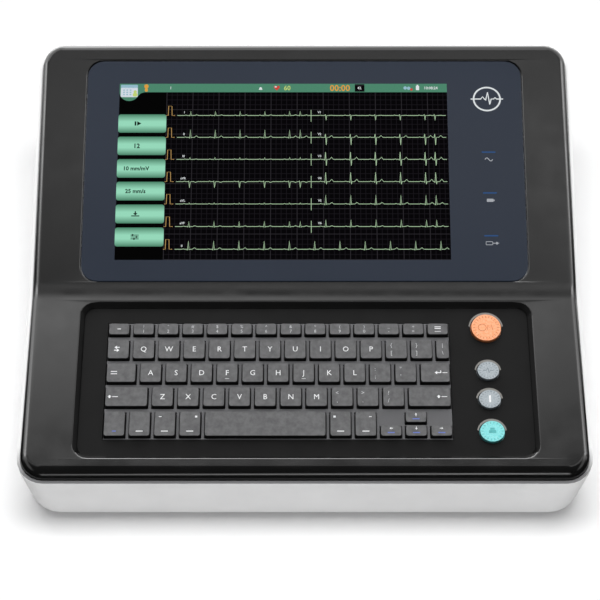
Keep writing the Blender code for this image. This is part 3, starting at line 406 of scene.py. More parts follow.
def keep_nodes(look):
    steel = [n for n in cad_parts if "screw" in n] + [
        "display_bracket",
        "door_hinge_rod",
        "thermal_print_head",
        "ecg_socket",
        "usb_socket",
        "lan_socket",
        "ground_terminal",
        "recorder_motor",
    ]
    groups = {
        "cover": ["top_cover", "door_latch"],
        "housing": ["base_housing", "recorder_door", "battery_door"],
        "glass": ["screen_glass"],
        "tray": ["keyboard_tray"],
        "key_frame": ["keyboard_frame"],
        "keys": [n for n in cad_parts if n.endswith(("_keys", "_key", "space_bar"))],
        "orange": ["start_button"],
        "button_grey": ["lead_button", "mark_button"],
        "teal": ["print_button"],
        "steel": steel,
        "aluminium": ["power_supply"],
        "rubber": ["platen_roller"] + [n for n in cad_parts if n.startswith("foot_")],
        "black": ["lcd_panel", "recorder_frame", "mains_inlet", "mains_switch_rocker"],
        "gear": ["platen_gear", "idler_gear", "motor_pinion", "paper_spindle"],
        "battery": ["battery_pack"],
        "board": [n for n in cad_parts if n.endswith("_board")],
        "paper": ["paper_roll"],
    }
    widths = {"cover": 0.65, "housing": 0.45, "glass": 0.35, "tray": 0.25, "keys": 0.4, "key_frame": 0.15}
    for name, nodes in groups.items():
        for node in nodes:
            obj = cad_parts[node]
            obj.data.materials.clear()
            obj.data.materials.append(look[name].material)
            weld = obj.modifiers.new("weld", "WELD")
            weld.merge_threshold = 1e-6
            bevel = obj.modifiers.new("softened_edges", "BEVEL")
            bevel.width = widths.get(name, 0.2) * MM
            bevel.segments = 2
            bevel.limit_method = "ANGLE"
            # The cover's well walls are only 33 degrees off its top, and its flats have narrow triangles
            bevel.angle_limit = COVER_EDGE_ANGLE if name == "cover" else EDGE_ANGLE
            bevel.use_clamp_overlap = name != "cover"
            weighted = obj.modifiers.new("flat_faces_stay_flat", "WEIGHTED_NORMAL")
            weighted.keep_sharp = True
            weighted.weight = 90
            obj.data.shade_smooth()
            obj.data.set_sharp_from_angle(angle=math.radians(35))
    missed = set(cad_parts) - {n for nodes in groups.values() for n in nodes}
    assert not missed, missed


# ---------------------------------------------------------------- screen
LCD = (222.7 * MM, 125.3 * MM)
HALF_W, HALF_H = LCD[0] / 2, LCD[1] / 2
BAR = 6.2 * MM
SOFT_KEY = (32.4 * MM, 13.2 * MM)
SOFT_KEY_TOP, SOFT_KEY_PITCH = 40.3 * MM, 16.1 * MM
PLOT_LEFT = -79.3 * MM
ROW_TOP, ROW_PITCH = 39.5 * MM, 15.8 * MM
BEAT = 16.75 * MM
FIRST_BEAT = -62.6 * MM
SWITCH_X = 18.9 * MM


def beat(x, y, up, down, wave):
    """One heartbeat: small first wave, sharp peak, broad last wave, heights in millimetres."""
    shape = (
        (-4.2, 0.0),
        (-3.4, 0.35),
        (-2.6, 0.0),
        (-0.9, 0.0),
        (-0.55, -0.12 * up),
        (0.0, up),
        (0.5, -down),
        (0.95, 0.0),
        (2.6, 0.0),
        (4.1, wave),
        (5.3, 0.0),
    )
    return [(x + a * MM, y + b * MM) for a, b in shape]


def trace(y, beats, start, end):
    points = [(start, y)]
    for x, up, down, wave in beats:
        points += [p for p in beat(x, y, up, down, wave) if start < p[0] < end and p[0] > points[-1][0]]
    return points + [(end, y)]


def make_picture(look):
    glass = Plane("screen_glass")
    corners = glass.spread("lcd_panel")
    middle = sum(corners, Vector()) / 2
    place = glass.matrix @ Matrix.Translation((middle.x, middle.y, 0))
    low = 0.01 * MM

    def screen_piece(name, look_name, outlines, level):
        bm = bmesh.new()
        for outline in outlines:
            prism(bm, outline, low + (level - 1) * FILM * 0.5, low + level * FILM)
        return piece(name, bm, place, look[look_name])

    # The panel itself, black, with the chart grid drawn by its material right of the soft keys.
    panel = Shader("lcd_panel_face", (0.0, 0.0, 0.0, 1.0), 0.5, Specular_IOR_Level=0.0)
    x, y = panel.axis("X"), panel.axis("Y")

    def lines(value, offset, pitch, width):
        cell = panel.maths("FRACT", panel.maths("DIVIDE", panel.maths("SUBTRACT", value, offset), pitch))
        return panel.maths("LESS_THAN", cell, width)

    minor_pitch, major_x = 3.54 * MM, -43.9 * MM
    minor = panel.maths("MAXIMUM", lines(x, major_x, minor_pitch, 0.12), lines(y, -HALF_H, minor_pitch, 0.12))
    major_pitch = minor_pitch * 5
    major = [lines(x, major_x, major_pitch, 0.03), lines(y, -HALF_H, major_pitch, 0.026)]
    major = panel.maths("MAXIMUM", *major)
    right_of_keys = panel.maths("GREATER_THAN", x, PLOT_LEFT)
    grid = panel.mix(minor, linear(7, 6, 8), linear(25, 23, 27))
    grid = panel.mix(major, grid, linear(42, 40, 44))
    panel.glow(panel.mix(right_of_keys, linear(5, 5, 5), grid))
    look["panel"] = panel
    screen_piece("lcd_face", "panel", [rounded(*LCD, 0.4 * MM)], 1)

    # Status bar with a round tab for the calendar symbol
    tab_x = -HALF_W + 6.6 * MM
    bar = [(-HALF_W, HALF_H), (-HALF_W, HALF_H - BAR - 1.5 * MM)]
    bar += arc(6.6 * MM, 6.4 * MM, 180, 335, 14, (tab_x, HALF_H - BAR))
    bar += [(-HALF_W + 14.6 * MM, HALF_H - BAR - 0.7 * MM), (-HALF_W + 17 * MM, HALF_H - BAR)]
    bar += [(HALF_W, HALF_H - BAR), (HALF_W, HALF_H)]
    screen_piece("status_bar", "bar", [bar], 2)
    top = HALF_H - 1.1 * MM
    sheet = [rounded(11.6 * MM, 7 * MM, 0.8 * MM, (tab_x, top - 5.2 * MM))]
    screen_piece("calendar_sheet", "sheet", sheet, 3)
    screen_piece("calendar_head", "sky", [rounded(11.6 * MM, 2.4 * MM, 0.6 * MM, (tab_x, top - 0.9 * MM))], 3)
    days = [(a, b) for a in (-3.6, -1.4, 0.8) for b in (3.6, 5.2, 6.8)]
    dots = [rounded(1.2 * MM, 0.9 * MM, 0, (tab_x + a * MM, top - b * MM)) for a, b in days]
    screen_piece("calendar_days", "sky", dots, 4)
    person = (tab_x + 4 * MM, top - 6.4 * MM)
    figure = [
        disc(1.1 * MM, (person[0], person[1] + 1.6 * MM), 12),
        rounded(3.2 * MM, 2.6 * MM, 1.1 * MM, (person[0], person[1] - 0.6 * MM)),
    ]
    screen_piece("calendar_person", "lime", figure, 5)
    patient = (-93.2 * MM, HALF_H - 3 * MM)
    figure = [
        disc(1.5 * MM, (patient[0], patient[1] + 1.1 * MM), 14),
        rounded(2 * MM, 2.6 * MM, 0.7 * MM, (patient[0], patient[1] - 1.5 * MM)),
    ]
    screen_piece("patient_mark", "amber", figure, 3)
    half_heart = [(-1.9, 0.1), (-2.0, 1.0), (-1.5, 1.6), (-0.8, 1.6)]
    heart = [(0, -1.9), *half_heart, (0, 0.9), *((-a, b) for a, b in reversed(half_heart))]
    bar_y = HALF_H - 3.1 * MM
    screen_piece("heart_mark", "red", [[(-4.4 * MM + a * MM, bar_y + b * MM) for a, b in heart]], 3)
    shine = rounded(1.5 * MM, 0.9 * MM, 0.4 * MM, (-5.1 * MM, bar_y + 0.8 * MM))
    screen_piece("heart_shine", "white", [shine], 4)
    bell = [
        disc(0.9 * MM, (-15.4 * MM, bar_y - 0.3 * MM), 10),
        rounded(2.4 * MM, 0.7 * MM, 0.2 * MM, (-15.4 * MM, bar_y - 1 * MM)),
    ]
    screen_piece("alarm_mark", "white", bell, 3)
    screen_piece("counter_box", "panel", [rounded(6.6 * MM, 5.4 * MM, 0, (52 * MM, bar_y))], 3)
    link = [disc(1.2 * MM, (83 * MM, bar_y), 12), disc(1.2 * MM, (85.4 * MM, bar_y - 0.2 * MM), 12)]
    screen_piece("link_mark", "sky", link, 3)
    screen_piece("link_alert", "red", [disc(0.9 * MM, (87.2 * MM, bar_y - 1.1 * MM), 10)], 4)
    battery = [
        rounded(2.2 * MM, 3.2 * MM, 0.3 * MM, (91.4 * MM, bar_y)),
        rounded(1 * MM, 0.8 * MM, 0, (91.4 * MM, bar_y + 1.9 * MM)),
    ]
    screen_piece("battery_mark", "white", battery, 3)
    numbers = (
        ("pulse_number", "60", 2.7, 3.2, "lime"),
        ("run_time", "00:00", 38.6, 4.3, "amber"),
        ("patient_number", "1", -76.6, 1.9, "white"),
        ("clock", "10:08:24", 100.4, 1.9, "white"),
        ("counter_number", "42.", 52.0, 1.7, "white"),
    )
    for name, text, at, size, colour in numbers:
        bm = bmesh.new()
        lettering(bm, text, size * MM, (at * MM, bar_y), low + 2 * FILM, low + 4 * FILM)
        piece(name, bm, place, look[colour])

    # Soft keys, shaded like rounded bars by their material
    soft = Shader("soft_key_light", (0.0, 0.0, 0.0, 1.0), 0.5, Specular_IOR_Level=0.0)
    down = soft.maths("SUBTRACT", SOFT_KEY_TOP, soft.axis("Y"))
    share = soft.maths("FRACT", soft.maths("DIVIDE", down, SOFT_KEY_PITCH))
    height = SOFT_KEY[1] / SOFT_KEY_PITCH
    from_middle = soft.maths("ABSOLUTE", soft.maths("SUBTRACT", share, height / 2))
    edge = soft.remap(from_middle, 0, 1, 0.1 * height, 0.5 * height)
    soft.glow(soft.mix(edge, linear(150, 216, 186), linear(74, 128, 102)))
    look["soft"] = soft
    middle_x = -HALF_W + SOFT_KEY[0] / 2 - 0.2 * MM
    rows = [SOFT_KEY_TOP - SOFT_KEY[1] / 2 - i * SOFT_KEY_PITCH for i in range(6)]
    screen_piece("soft_keys", "soft", [rounded(*SOFT_KEY, 1.6 * MM, (middle_x, y)) for y in rows], 2)
    bm = bmesh.new()
    captions = {1: "12", 2: "10 mm/mV", 3: "25 mm/s"}
    for row, text in captions.items():
        size = 3.1 if row == 1 else 2.7
        middle = (middle_x - 3.4 * MM, rows[row])
        lettering(bm, text, size * MM, middle, low + 1.5 * FILM, low + 3 * FILM, 0.04)
    # Start, save and settings symbols, with the sliders' knobs on the last one's three lines
    start = [(-0.4 * MM, 1.6 * MM), (-0.4 * MM, -1.6 * MM), (2.4 * MM, 0)]
    arrow_head = [(-1.5 * MM, 0.5 * MM), (1.5 * MM, 0.5 * MM), (0, -1 * MM)]
    sliders = [rounded(5.4 * MM, 0.5 * MM, 0, (0, y * MM)) for y in (-1.3, 0, 1.3)]
    knobs = [disc(0.7 * MM, (x * MM, y * MM), 10) for x, y in ((-1.4, 1.3), (1.2, 0), (-0.4, -1.3))]
    marks = {
        0: [rounded(1.1 * MM, 3 * MM, 0, (-1.6 * MM, 0)), start],
        4: [
            rounded(5.4 * MM, 0.7 * MM, 0, (0, -1.4 * MM)),
            arrow_head,
            rounded(0.8 * MM, 1.4 * MM, 0, (0, 1.2 * MM)),
        ],
        5: sliders + knobs,
    }
    for row, outlines in marks.items():
        for i, outline in enumerate(outlines):
            moved = [(x + middle_x - 3 * MM, y + rows[row]) for x, y in outline]
            prism(bm, moved, low + (1.5 + 0.1 * i) * FILM, low + (3 + 0.1 * i) * FILM)
    piece("soft_key_marks", bm, place, look["dark_text"])

    # Traces: each row's beats in its left and right half, as peak, trough and last wave
    left = [(3.2, 0.2, 0.5), (5.6, 0.5, 1.1), (1.4, 0.2, 0.3)]
    left += [(-4.4, 0.3, -0.6), (0.8, 0.1, 0.2), (3.8, 0.6, 0.6)]
    right = [(0.8, 3.4, 0.2), (2.4, 5.4, 1.4), (5.2, 4.4, 1.6)]
    right += [(6.6, 1.8, 1.7), (6.4, 0.5, 1.1), (4.8, 0.3, 0.6)]
    rhythm = (5.8, 0.4, 1.1)
    beats_left = [FIRST_BEAT + i * BEAT for i in range(5)] + [11.6 * MM]
    beats_right = [28.6 * MM + i * BEAT for i in range(5)] + [102.4 * MM]
    start, end = PLOT_LEFT + 7.6 * MM, HALF_W - 1.2 * MM
    bm, pulses, names = bmesh.new(), bmesh.new(), bmesh.new()
    z = (low + 1.2 * FILM, low + 2 * FILM)
    line = 0.37 * MM
    for row in range(7):
        y = ROW_TOP - row * ROW_PITCH
        if row < 6:
            first = [(x, *left[row]) for x in beats_left]
            second = [(x, *right[row]) for x in beats_right]
            ribbon(bm, trace(y, first, start, SWITCH_X), line, *z)
            ribbon(bm, trace(y, second, SWITCH_X, end), line, *z)
            switch = [(SWITCH_X, y - 4.4 * MM), (SWITCH_X, y + 4 * MM)]
            ribbon(bm, switch, line, z[0] + 0.2 * FILM, z[1] + 0.2 * FILM)
        else:
            ribbon(bm, trace(y, [(FIRST_BEAT + i * BEAT, *rhythm) for i in range(11)], start, end), line, *z)
        pulse = [(0, 0), (1.4, 0), (1.6, 6.8), (3.8, 6.8), (4.0, 0), (6.0, 0)]
        ribbon(pulses, [(PLOT_LEFT + a * MM, y + b * MM) for a, b in pulse], 0.42 * MM, *z)
        name = ("I", "II", "III", "aVR", "aVL", "aVF", "II")[row]
        lettering(names, name, 1.5 * MM, (-67 * MM, y + 2.4 * MM), *z)
        if row < 6:
            lettering(names, f"V{row + 1}", 1.5 * MM, (24.6 * MM, y + 2.4 * MM), *z)
    piece("ecg_traces", bm, place, look["trace"])
    piece("calibration_pulses", pulses, place, look["pulse"])
    piece("lead_names", names, place, look["white"])
    make_indicators(look, glass.matrix)


def make_indicators(look, place):
    """Lit marks down the right of the glass and a plain pulse symbol above them."""
    low = 0.01 * MM
    x = 124 * MM
    bars, icons = bmesh.new(), bmesh.new()
    for i, y in enumerate((12.2 * MM, -16.8 * MM, -46.8 * MM)):
        prism(bars, rounded(9.4 * MM, 0.9 * MM, 0.4 * MM, (x, y)), low, low + FILM)
        at = y - 5.2 * MM
        if i == 0:
            steps = [k * 0.52 for k in range(11)]
            wave = [(x + (a - 2.6) * MM, at + 1.1 * MM * math.sin(a / 5.2 * 2 * math.pi)) for a in steps]
            ribbon(icons, wave, 0.6 * MM, low, low + FILM)
        elif i == 1:
            prism(icons, rounded(4.4 * MM, 2.2 * MM, 0.4 * MM, (x, at)), low, low + FILM)
            prism(icons, rounded(0.7 * MM, 1.1 * MM, 0, (x + 2.6 * MM, at)), low, low + FILM)
        else:
            ring = rounded(4.4 * MM, 2.2 * MM, 0.4 * MM, (x - 1.4 * MM, at))
            ribbon(icons, ring + ring[:1], 0.4 * MM, low, low + FILM)
            prism(icons, rounded(4 * MM, 0.5 * MM, 0, (x + 3 * MM, at)), low, low + FILM)
            prism(icons, rounded(1 * MM, 1.8 * MM, 0.2 * MM, (x + 3.6 * MM, at)), low, low + 1.1 * FILM)
    piece("indicator_bars", bars, place, look["blue"])
    piece("indicator_icons", icons, place, look["dim_white"])
    mark = bmesh.new()
    at = 50.6 * MM
    ring = arc(9 * MM, 8.4 * MM, 0, 360, 40, (x, at))
    ribbon(mark, ring, 1.1 * MM, low, low + FILM)
    pulse = [(-11, 0), (-4.2, 0), (-2.9, 1.6), (-1.7, 0), (-0.9, -1), (0.5, 5)]
    pulse += [(1.9, -4), (2.9, 0), (4.6, 0), (5.6, 1), (6.6, 0), (11, 0)]
    ribbon(mark, [(x + a * MM, at + b * MM) for a, b in pulse], 0.8 * MM, low, low + 1.1 * FILM)
    piece("pulse_symbol", mark, place, look["white"])


# ---------------------------------------------------------------- keyboard
def caps(node, deck):
    """The flat top of each keycap of a node, left to right.

    Each is (low x, high x, low y, high y, z) in deck axes.
    """
    back = deck.matrix.inverted()
    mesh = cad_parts[node].data
    points = [back @ v.co for v in mesh.vertices]
    top = max(p.z for p in points)
    group = {}

    def find(key):
        while group[key] != key:
            key = group[key]
        return key

    for face in mesh.polygons:
        corners = [points[i] for i in face.vertices]
        if min(c.z for c in corners) < top - 0.02 * MM:
            continue
        keys = [tuple(round(v * 1e5) for v in c) for c in corners]
        for key in keys:
            group.setdefault(key, key)
        for key in keys[1:]:
            group[find(key)] = find(keys[0])
    islands = {}
    for key in group:
        islands.setdefault(find(key), []).append(key)
    found = []
    for keys in islands.values():
        xs, ys = [k[0] / 1e5 for k in keys], [k[1] / 1e5 for k in keys]
        found.append((min(xs), max(xs), min(ys), max(ys), top))
    return sorted(found)


def arrow(kind):
    """Outlines of simple function-key symbols, in millimetres."""
    head = [(-1.6, 0), (0, 1.2), (0, -1.2)]
    if kind == "left":
        return [head, [(0, 0.3), (0, -0.3), (1.8, -0.3), (1.8, 0.3)]]
    if kind == "right":
        return [[(-x, y) for x, y in outline] for outline in arrow("left")]
    if kind == "up":
        return [[(y, -x) for x, y in outline] for outline in arrow("left")]
    if kind == "down":
        return [[(y, x) for x, y in outline] for outline in arrow("left")]
    if kind == "return":
        return arrow("left")[:1] + [[(0, 0.3), (0, -0.3), (2.6, -0.3), (2.6, 1.5), (2.0, 1.5), (2.0, 0.3)]]
    if kind == "tab":
        back = [[(x, y + 0.9) for x, y in outline] for outline in arrow("left")]
        return back + [[(x, y - 1.1) for x, y in outline] for outline in arrow("right")]
    if kind == "word":
        return [[(-2, -0.28), (2, -0.28), (2, 0.28), (-2, 0.28)]]
    if kind == "short":
        return [[(-1.1, -0.28), (1.1, -0.28), (1.1, 0.28), (-1.1, 0.28)]]
    if kind == "square":
        return [[(-0.9, -0.8), (0.9, -0.8), (0.9, 0.8), (-0.9, 0.8)]]
    if kind == "shift":
        return [[(0, 1.5), (-1.6, 0), (-0.7, 0), (-0.7, -1.2), (0.7, -1.2), (0.7, 0), (1.6, 0)]]
    raise ValueError(kind)


ROWS = {
    "number_keys": "Esc 1 2 3 4 5 6 7 8 9 0 - = Back".split(),
    "upper_letter_keys": "Tab Q W E R T Y U I O P [ ] \\".split(),
    "home_letter_keys": "A S D F G H J K L ; '".split(),
    "lower_letter_keys": "Z X C V B N M , . /".split(),
}
UPPER = {"1": "!", "2": '"', "3": "#", "4": "$", "5": "%", "6": "^", "7": "&", "8": "*", "9": "(", "0": ")"}
UPPER.update({"-": "_", "=": "+", "[": "{", "]": "}", "\\": "|"})
UPPER.update({";": ":", "'": '"', ",": "<", ".": ">", "/": "?"})


def make_legends(look, deck):
    layers = {}

    def layer(node, look_name):
        return layers.setdefault((node, look_name), bmesh.new())

    def symbol(node, look_name, kind, x, y, z, scale=1.0):
        for i, outline in enumerate(arrow(kind)):
            points = [(x + a * scale * MM, y + b * scale * MM) for a, b in outline]
            prism(layer(node, look_name), points, z - FILM, z + (1 + 0.1 * i) * FILM)

    def text(node, look_name, words, size, x, y, z):
        lettering(layer(node, look_name), words, size * MM, (x, y), z - FILM, z + FILM, 0.0)

    for node, names in ROWS.items():
        tops = caps(node, deck)
        assert len(tops) == len(names), (node, len(tops))
        for name, (x0, x1, y0, y1, z) in zip(names, tops):
            x, y = (x0 + x1) / 2, (y0 + y1) / 2
            if name == "Esc":
                symbol(node, "legend", "short", x, y, z)
            elif name == "Back":
                symbol(node, "legend", "word", x, y + 1.5 * MM, z)
                symbol(node, "legend", "word", x, y + 0.3 * MM, z)
                symbol(node, "legend_dim", "word", x, y - 1.8 * MM, z)
            elif name == "Tab":
                symbol(node, "legend", "tab", x - 1 * MM, y + 0.2 * MM, z)
            elif name.isalpha():
                text(node, "legend", name, 3.5, x, y, z)
                if name in "FJ":
                    corners = ((-1, -1), (1, -1), (1, 1), (-1, 1))
                    bar = [(x + a * 1.3 * MM, y - 4.2 * MM + b * 0.2 * MM) for a, b in corners]
                    prism(layer(node, "legend_dim"), bar, z - FILM, z + 0.15 * MM)
            elif node == "number_keys":
                text(node, "legend_dim", UPPER[name], 2.0, x, y + 1.7 * MM, z)
                text(node, "legend_dim", name, 2.1, x, y - 1.6 * MM, z)
            else:
                side = x if x1 - x0 < 10 * MM else x - 3.2 * MM
                text(node, "legend_dim", UPPER[name], 2.5, side, y + 2.7 * MM, z)
                text(node, "legend_dim", name, 2.6, side, y - 2.6 * MM, z)

    for node, kind, align in (
        ("caps_lock_key", "word", -1),
        ("left_shift_key", "shift", -1),
        ("right_shift_key", "shift", 1),
        ("enter_key", "return", 1),
    ):
        x0, x1, y0, y1, z = caps(node, deck)[0]
        x = x0 + 4.6 * MM if align < 0 else x1 - 5.6 * MM
        y = (y0 + y1) / 2
        if kind == "word":
            symbol(node, "legend", "word", x, y + 0.8 * MM, z)
            symbol(node, "legend", "word", x, y - 0.8 * MM, z)
        elif kind == "shift":
            symbol(node, "legend", "shift", x - 2 * MM, y, z, 0.8)
            symbol(node, "legend", "word", x + 1.6 * MM, y, z, 0.9)
        else:
            symbol(node, "legend", "return", x - 2.4 * MM, y, z)
            symbol(node, "legend", "word", x + 2.6 * MM, y, z, 0.8)

    for node in ("left_modifier_keys", "right_modifier_keys"):
        for i, (x0, x1, y0, y1, z) in enumerate(caps(node, deck)):
            x, foot, head = (x0 + x1) / 2, y0 + 3.2 * MM, y1 - 3.6 * MM
            left = node == "left_modifier_keys"
            if left and i == 0:
                symbol(node, "legend_blue", "short", x, foot, z, 1.1)
                continue
            symbol(node, "legend", "word", x, foot, z, 1.1)
            if left and i < 2:
                continue
            outward = -1 if left else 1
            if i == (3 if left else 0):
                symbol(node, "legend", "square", x - outward * 3.8 * MM, head, z, 0.8)
            else:
                symbol(node, "legend", "short", x + outward * 3 * MM, head, z, 0.8)
    for side in ("left", "up", "down", "right"):
        node = f"arrow_{side}_key"
        x0, x1, y0, y1, z = caps(node, deck)[0]
        x, y = (x0 + x1) / 2, (y0 + y1) / 2
        symbol(node, "legend", side, x, y + 1.5 * MM, z, 0.65)
        symbol(node, "legend_blue", "word", x, y - 1.4 * MM, z, 1.1)
    for (node, look_name), bm in layers.items():
        piece(f"{node}_{look_name}", bm, deck.matrix, look[look_name], node)


# ---------------------------------------------------------------- round buttons
def make_button_marks(look, deck):
    trim = bmesh.new()
    for node, colour in (
        ("start_button", "orange"),
        ("lead_button", "button_grey"),
        ("mark_button", "button_grey"),
        ("print_button", "teal"),
    ):
        x0, x1, y0, y1, z = caps(node, deck)[0]
        x, y, half_x, half_y = (x0 + x1) / 2, (y0 + y1) / 2, (x1 - x0) / 2, (y1 - y0) / 2
        ticks = bmesh.new()
        count = 24 if half_x > 8 * MM else 18
        for i in range(count):
            angle = 2 * math.pi * i / count
            direction = Vector((math.cos(angle), math.sin(angle)))
            ends = [(x + half_x * r * direction.x, y + half_y * r * direction.y) for r in (0.74, 0.92)]
            ribbon(ticks, ends, 0.42 * MM, z - FILM, z + FILM)
        if node == "start_button":
            ring = arc(2.6 * MM, 2.4 * MM, 0, 360, 20, (x - 2.6 * MM, y))
            ribbon(ticks, ring, 0.5 * MM, z - FILM, z + FILM)
            wave = [(0.6, -1.6), (1.4, 1.8), (2.4, -0.6), (3.3, 1.8), (4.2, -1.6)]
            ribbon(ticks, [(x + a * MM, y + b * MM) for a, b in wave], 0.5 * MM, z - FILM, z + FILM)
        elif node == "lead_button":
            wave = [(-3.4, 0), (-1.2, 0), (-0.5, 1.8), (0.5, -1.6), (1.2, 0), (3.4, 0)]
            ribbon(ticks, [(x + a * MM, y + b * MM) for a, b in wave], 0.5 * MM, z - FILM, z + FILM)
        elif node == "print_button":
            prism(ticks, rounded(4.6 * MM, 2 * MM, 0.4 * MM, (x, y - 0.3 * MM)), z - FILM, z + FILM)
            prism(ticks, rounded(2.8 * MM, 1.4 * MM, 0, (x, y + 1.6 * MM)), z - FILM, z + FILM)
        piece(f"{node}_marks", ticks, deck.matrix, look[f"{colour}_mark"], node)
        if node == "mark_button":
            bm = bmesh.new()
            prism(bm, rounded(1.3 * MM, 5 * MM, 0.5 * MM, (x, y)), z - FILM, z + 1.2 * FILM)
            piece("mark_button_bar", bm, deck.matrix, look["legend"], node)

        low, high = deck.spread(node)
        middle_x, middle_y = (low.x + high.x) / 2, (low.y + high.y) / 2
        half_x, half_y = (high.x - low.x) / 2 - 1.5 * MM, (high.y - low.y) / 2 - 1.5 * MM
        outer = arc(half_x + 1.6 * MM, half_y + 1.8 * MM, 8, 172, 36, (middle_x, middle_y + 0.4 * MM))
        inner = arc(half_x + 0.7 * MM, half_y + 0.7 * MM, 174, 6, 36, (middle_x, middle_y))
        prism(trim, outer + inner, -0.05 * MM, 0.2 * MM)
    crescents = piece("button_crescents", trim, deck.matrix, look["crescent"])
    bevel = crescents.modifiers.new("softened_edges", "BEVEL")
    bevel.width = 0.15 * MM
    bevel.segments = 2
    bevel.limit_method = "ANGLE"


# ---------------------------------------------------------------- rear and underside
def rear_matrix():
    """Axes for marks on the rear wall: X to a viewer's right there, Y up, Z out of the wall."""
    low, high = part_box("base_housing")
    turn = Matrix(((-1, 0, 0), (0, 0, 1), (0, 1, 0)))
    return Matrix.Translation((0, high.y, 0)) @ turn.to_4x4()


def make_rear(look):
    place = rear_matrix()
    symbols = bmesh.new()

    def at(node, dx=0.0, dz=0.0):
        low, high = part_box(node)
        return (-(low.x + high.x) / 2 + dx * MM, (low.z + high.z) / 2 + dz * MM)

    def stroke(points, origin, width=0.5):
        line = [(origin[0] + a * MM, origin[1] + b * MM) for a, b in points]
        ribbon(symbols, line, width * MM, 0, FILM * 2)

    origin = at("ground_terminal", -11)
    for i, half in enumerate((2.6, 1.7, 0.8)):
        stroke([(-half, -0.4 - 1.2 * i), (half, -0.4 - 1.2 * i)], origin)
    stroke([(0, 3), (0, -0.4)], origin)
    origin = at("mains_inlet", 0, 29)
    stroke([(-4, 0), (-2.6, 1.4), (-1.3, 0), (0, -1.4), (1.3, 0), (2.6, 1.4), (4, 0)], origin)
    origin = at("ecg_socket", 0, 11)
    stroke([(-6, 0), (-2, 0), (-1, 2.4), (0.4, -2), (1.2, 0), (6, 0)], origin)
    origin = at("usb_socket", 0, 11.5)
    stroke([(-3, -1.2), (3, -1.2), (3, 1.2), (-3, 1.2), (-3, -1.2)], origin)
    stroke([(-1.8, 0.2), (1.8, 0.2)], origin)
    origin = at("lan_socket", 0, 10.5)
    for dx, dy in ((0, 1.4), (-2.4, -1.4), (2.4, -1.4)):
        middle = (origin[0] + dx * MM, origin[1] + dy * MM)
        prism(symbols, rounded(1.9 * MM, 1.5 * MM, 0, middle), 0, FILM * 2.4)
    stroke([(-2.4, -1.4), (-2.4, 0), (2.4, 0), (2.4, -1.4)], origin, 0.4)
    stroke([(0, 1.4), (0, 0)], origin, 0.4)
    piece("rear_symbols", symbols, place, look["print"])

    low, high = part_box("mains_inlet")
    contacts = bmesh.new()
    cavity = low.z + 15 * MM
    for dx, dz in ((-7, 1.5), (0, -2.5), (7, 1.5)):
        middle = (-(low.x + high.x) / 2 + dx * MM, cavity + dz * MM)
        prism(contacts, rounded(2.3 * MM, 4.3 * MM, 0.4 * MM, middle), -17.6 * MM, -5.3 * MM)
    piece("inlet_contacts", contacts, place, look["silver"])

    low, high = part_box("usb_socket")
    tongues, pins = bmesh.new(), bmesh.new()
    for side in (-1, 1):
        middle = (-(low.x + high.x) / 2, (low.z + high.z) / 2 + side * 3.8 * MM + 0.6 * MM)
        prism(tongues, rounded(11.2 * MM, 1.7 * MM, 0.3 * MM, middle), -11.8 * MM, -1.6 * MM)
        for k in range(4):
            pin = (middle[0] + (k - 1.5) * 2.5 * MM, middle[1] - 0.95 * MM)
            prism(pins, rounded(1.2 * MM, 0.3 * MM, 0, pin), -11 * MM, -2.4 * MM)
    low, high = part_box("lan_socket")
    middle_x, middle_z = -(low.x + high.x) / 2, (low.z + high.z) / 2
    for k in range(8):
        pin = (middle_x + (k - 3.5) * 1.1 * MM, middle_z + 2.8 * MM)
        prism(pins, rounded(0.5 * MM, 0.7 * MM, 0, pin), -12 * MM, -3 * MM)
    piece("usb_tongues", tongues, place, look["black"])
    piece("socket_contacts", pins, place, look["gold"])

    low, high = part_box("ecg_socket")
    middle_x, middle_z = -(low.x + high.x) / 2, (low.z + high.z) / 2
    insert, holes = bmesh.new(), bmesh.new()
    shape = [(-17.4, 4.0), (17.4, 4.0), (15.9, -4.0), (-15.9, -4.0)]
    outline = [(middle_x + a * 0.9 * MM, middle_z - b * 0.9 * MM) for a, b in shape]
    prism(insert, outline, -0.6 * MM, -0.2 * MM)
    # Painted shade: the pin holes are flat near-black discs on the insert, standing in for the shade inside
    # each hole
    for row, count in ((1.4, 8), (-1.4, 7)):
        for k in range(count):
            centre = (middle_x + (k - (count - 1) / 2) * 2.77 * MM, middle_z - row * MM)
            prism(holes, disc(0.65 * MM, centre, 12), -0.5 * MM, -0.15 * MM)
    piece("ecg_socket_insert", insert, place, look["battery"])
    piece("ecg_socket_holes", holes, place, look["hollow"])


# ---------------------------------------------------------------- stage
def make_stage():
    floor_mesh = bpy.data.meshes.new("floor")
    reach = 6.0
    corners = [(-reach, -reach, 0), (reach, -reach, 0), (reach, reach, 0), (-reach, reach, 0)]
    floor_mesh.from_pydata(corners, [], [(0, 1, 2, 3)])
    floor = bpy.data.objects.new("floor", floor_mesh)
    bpy.context.scene.collection.objects.link(floor)
    paint = Shader("floor", linear(250, 250, 250), 0.9, Specular_IOR_Level=0.0).vary(0.004, 2)
    floor.data.materials.append(paint.material)

    make_world()
    for name, place, aim, size, power in (
        ("top_softbox", (0.0, 0.15, 1.9), (0, 0.0, 0), (1.3, 0.6), 31),
        ("front_softbox", (0.0, -1.6, 0.35), (0, 0, 0.03), (1.6, 0.4), 3.2),
    ):
        lamp = bpy.data.lights.new(name, "AREA")
        lamp.shape = "RECTANGLE"
        lamp.size, lamp.size_y = size
        lamp.energy = power
        holder = bpy.data.objects.new(name, lamp)
        bpy.context.scene.collection.objects.link(holder)
        holder.location = place
        holder.rotation_euler = (Vector(aim) - Vector(place)).to_track_quat("-Z", "Y").to_euler()
        holder.visible_glossy = False
    floor.visible_glossy = False


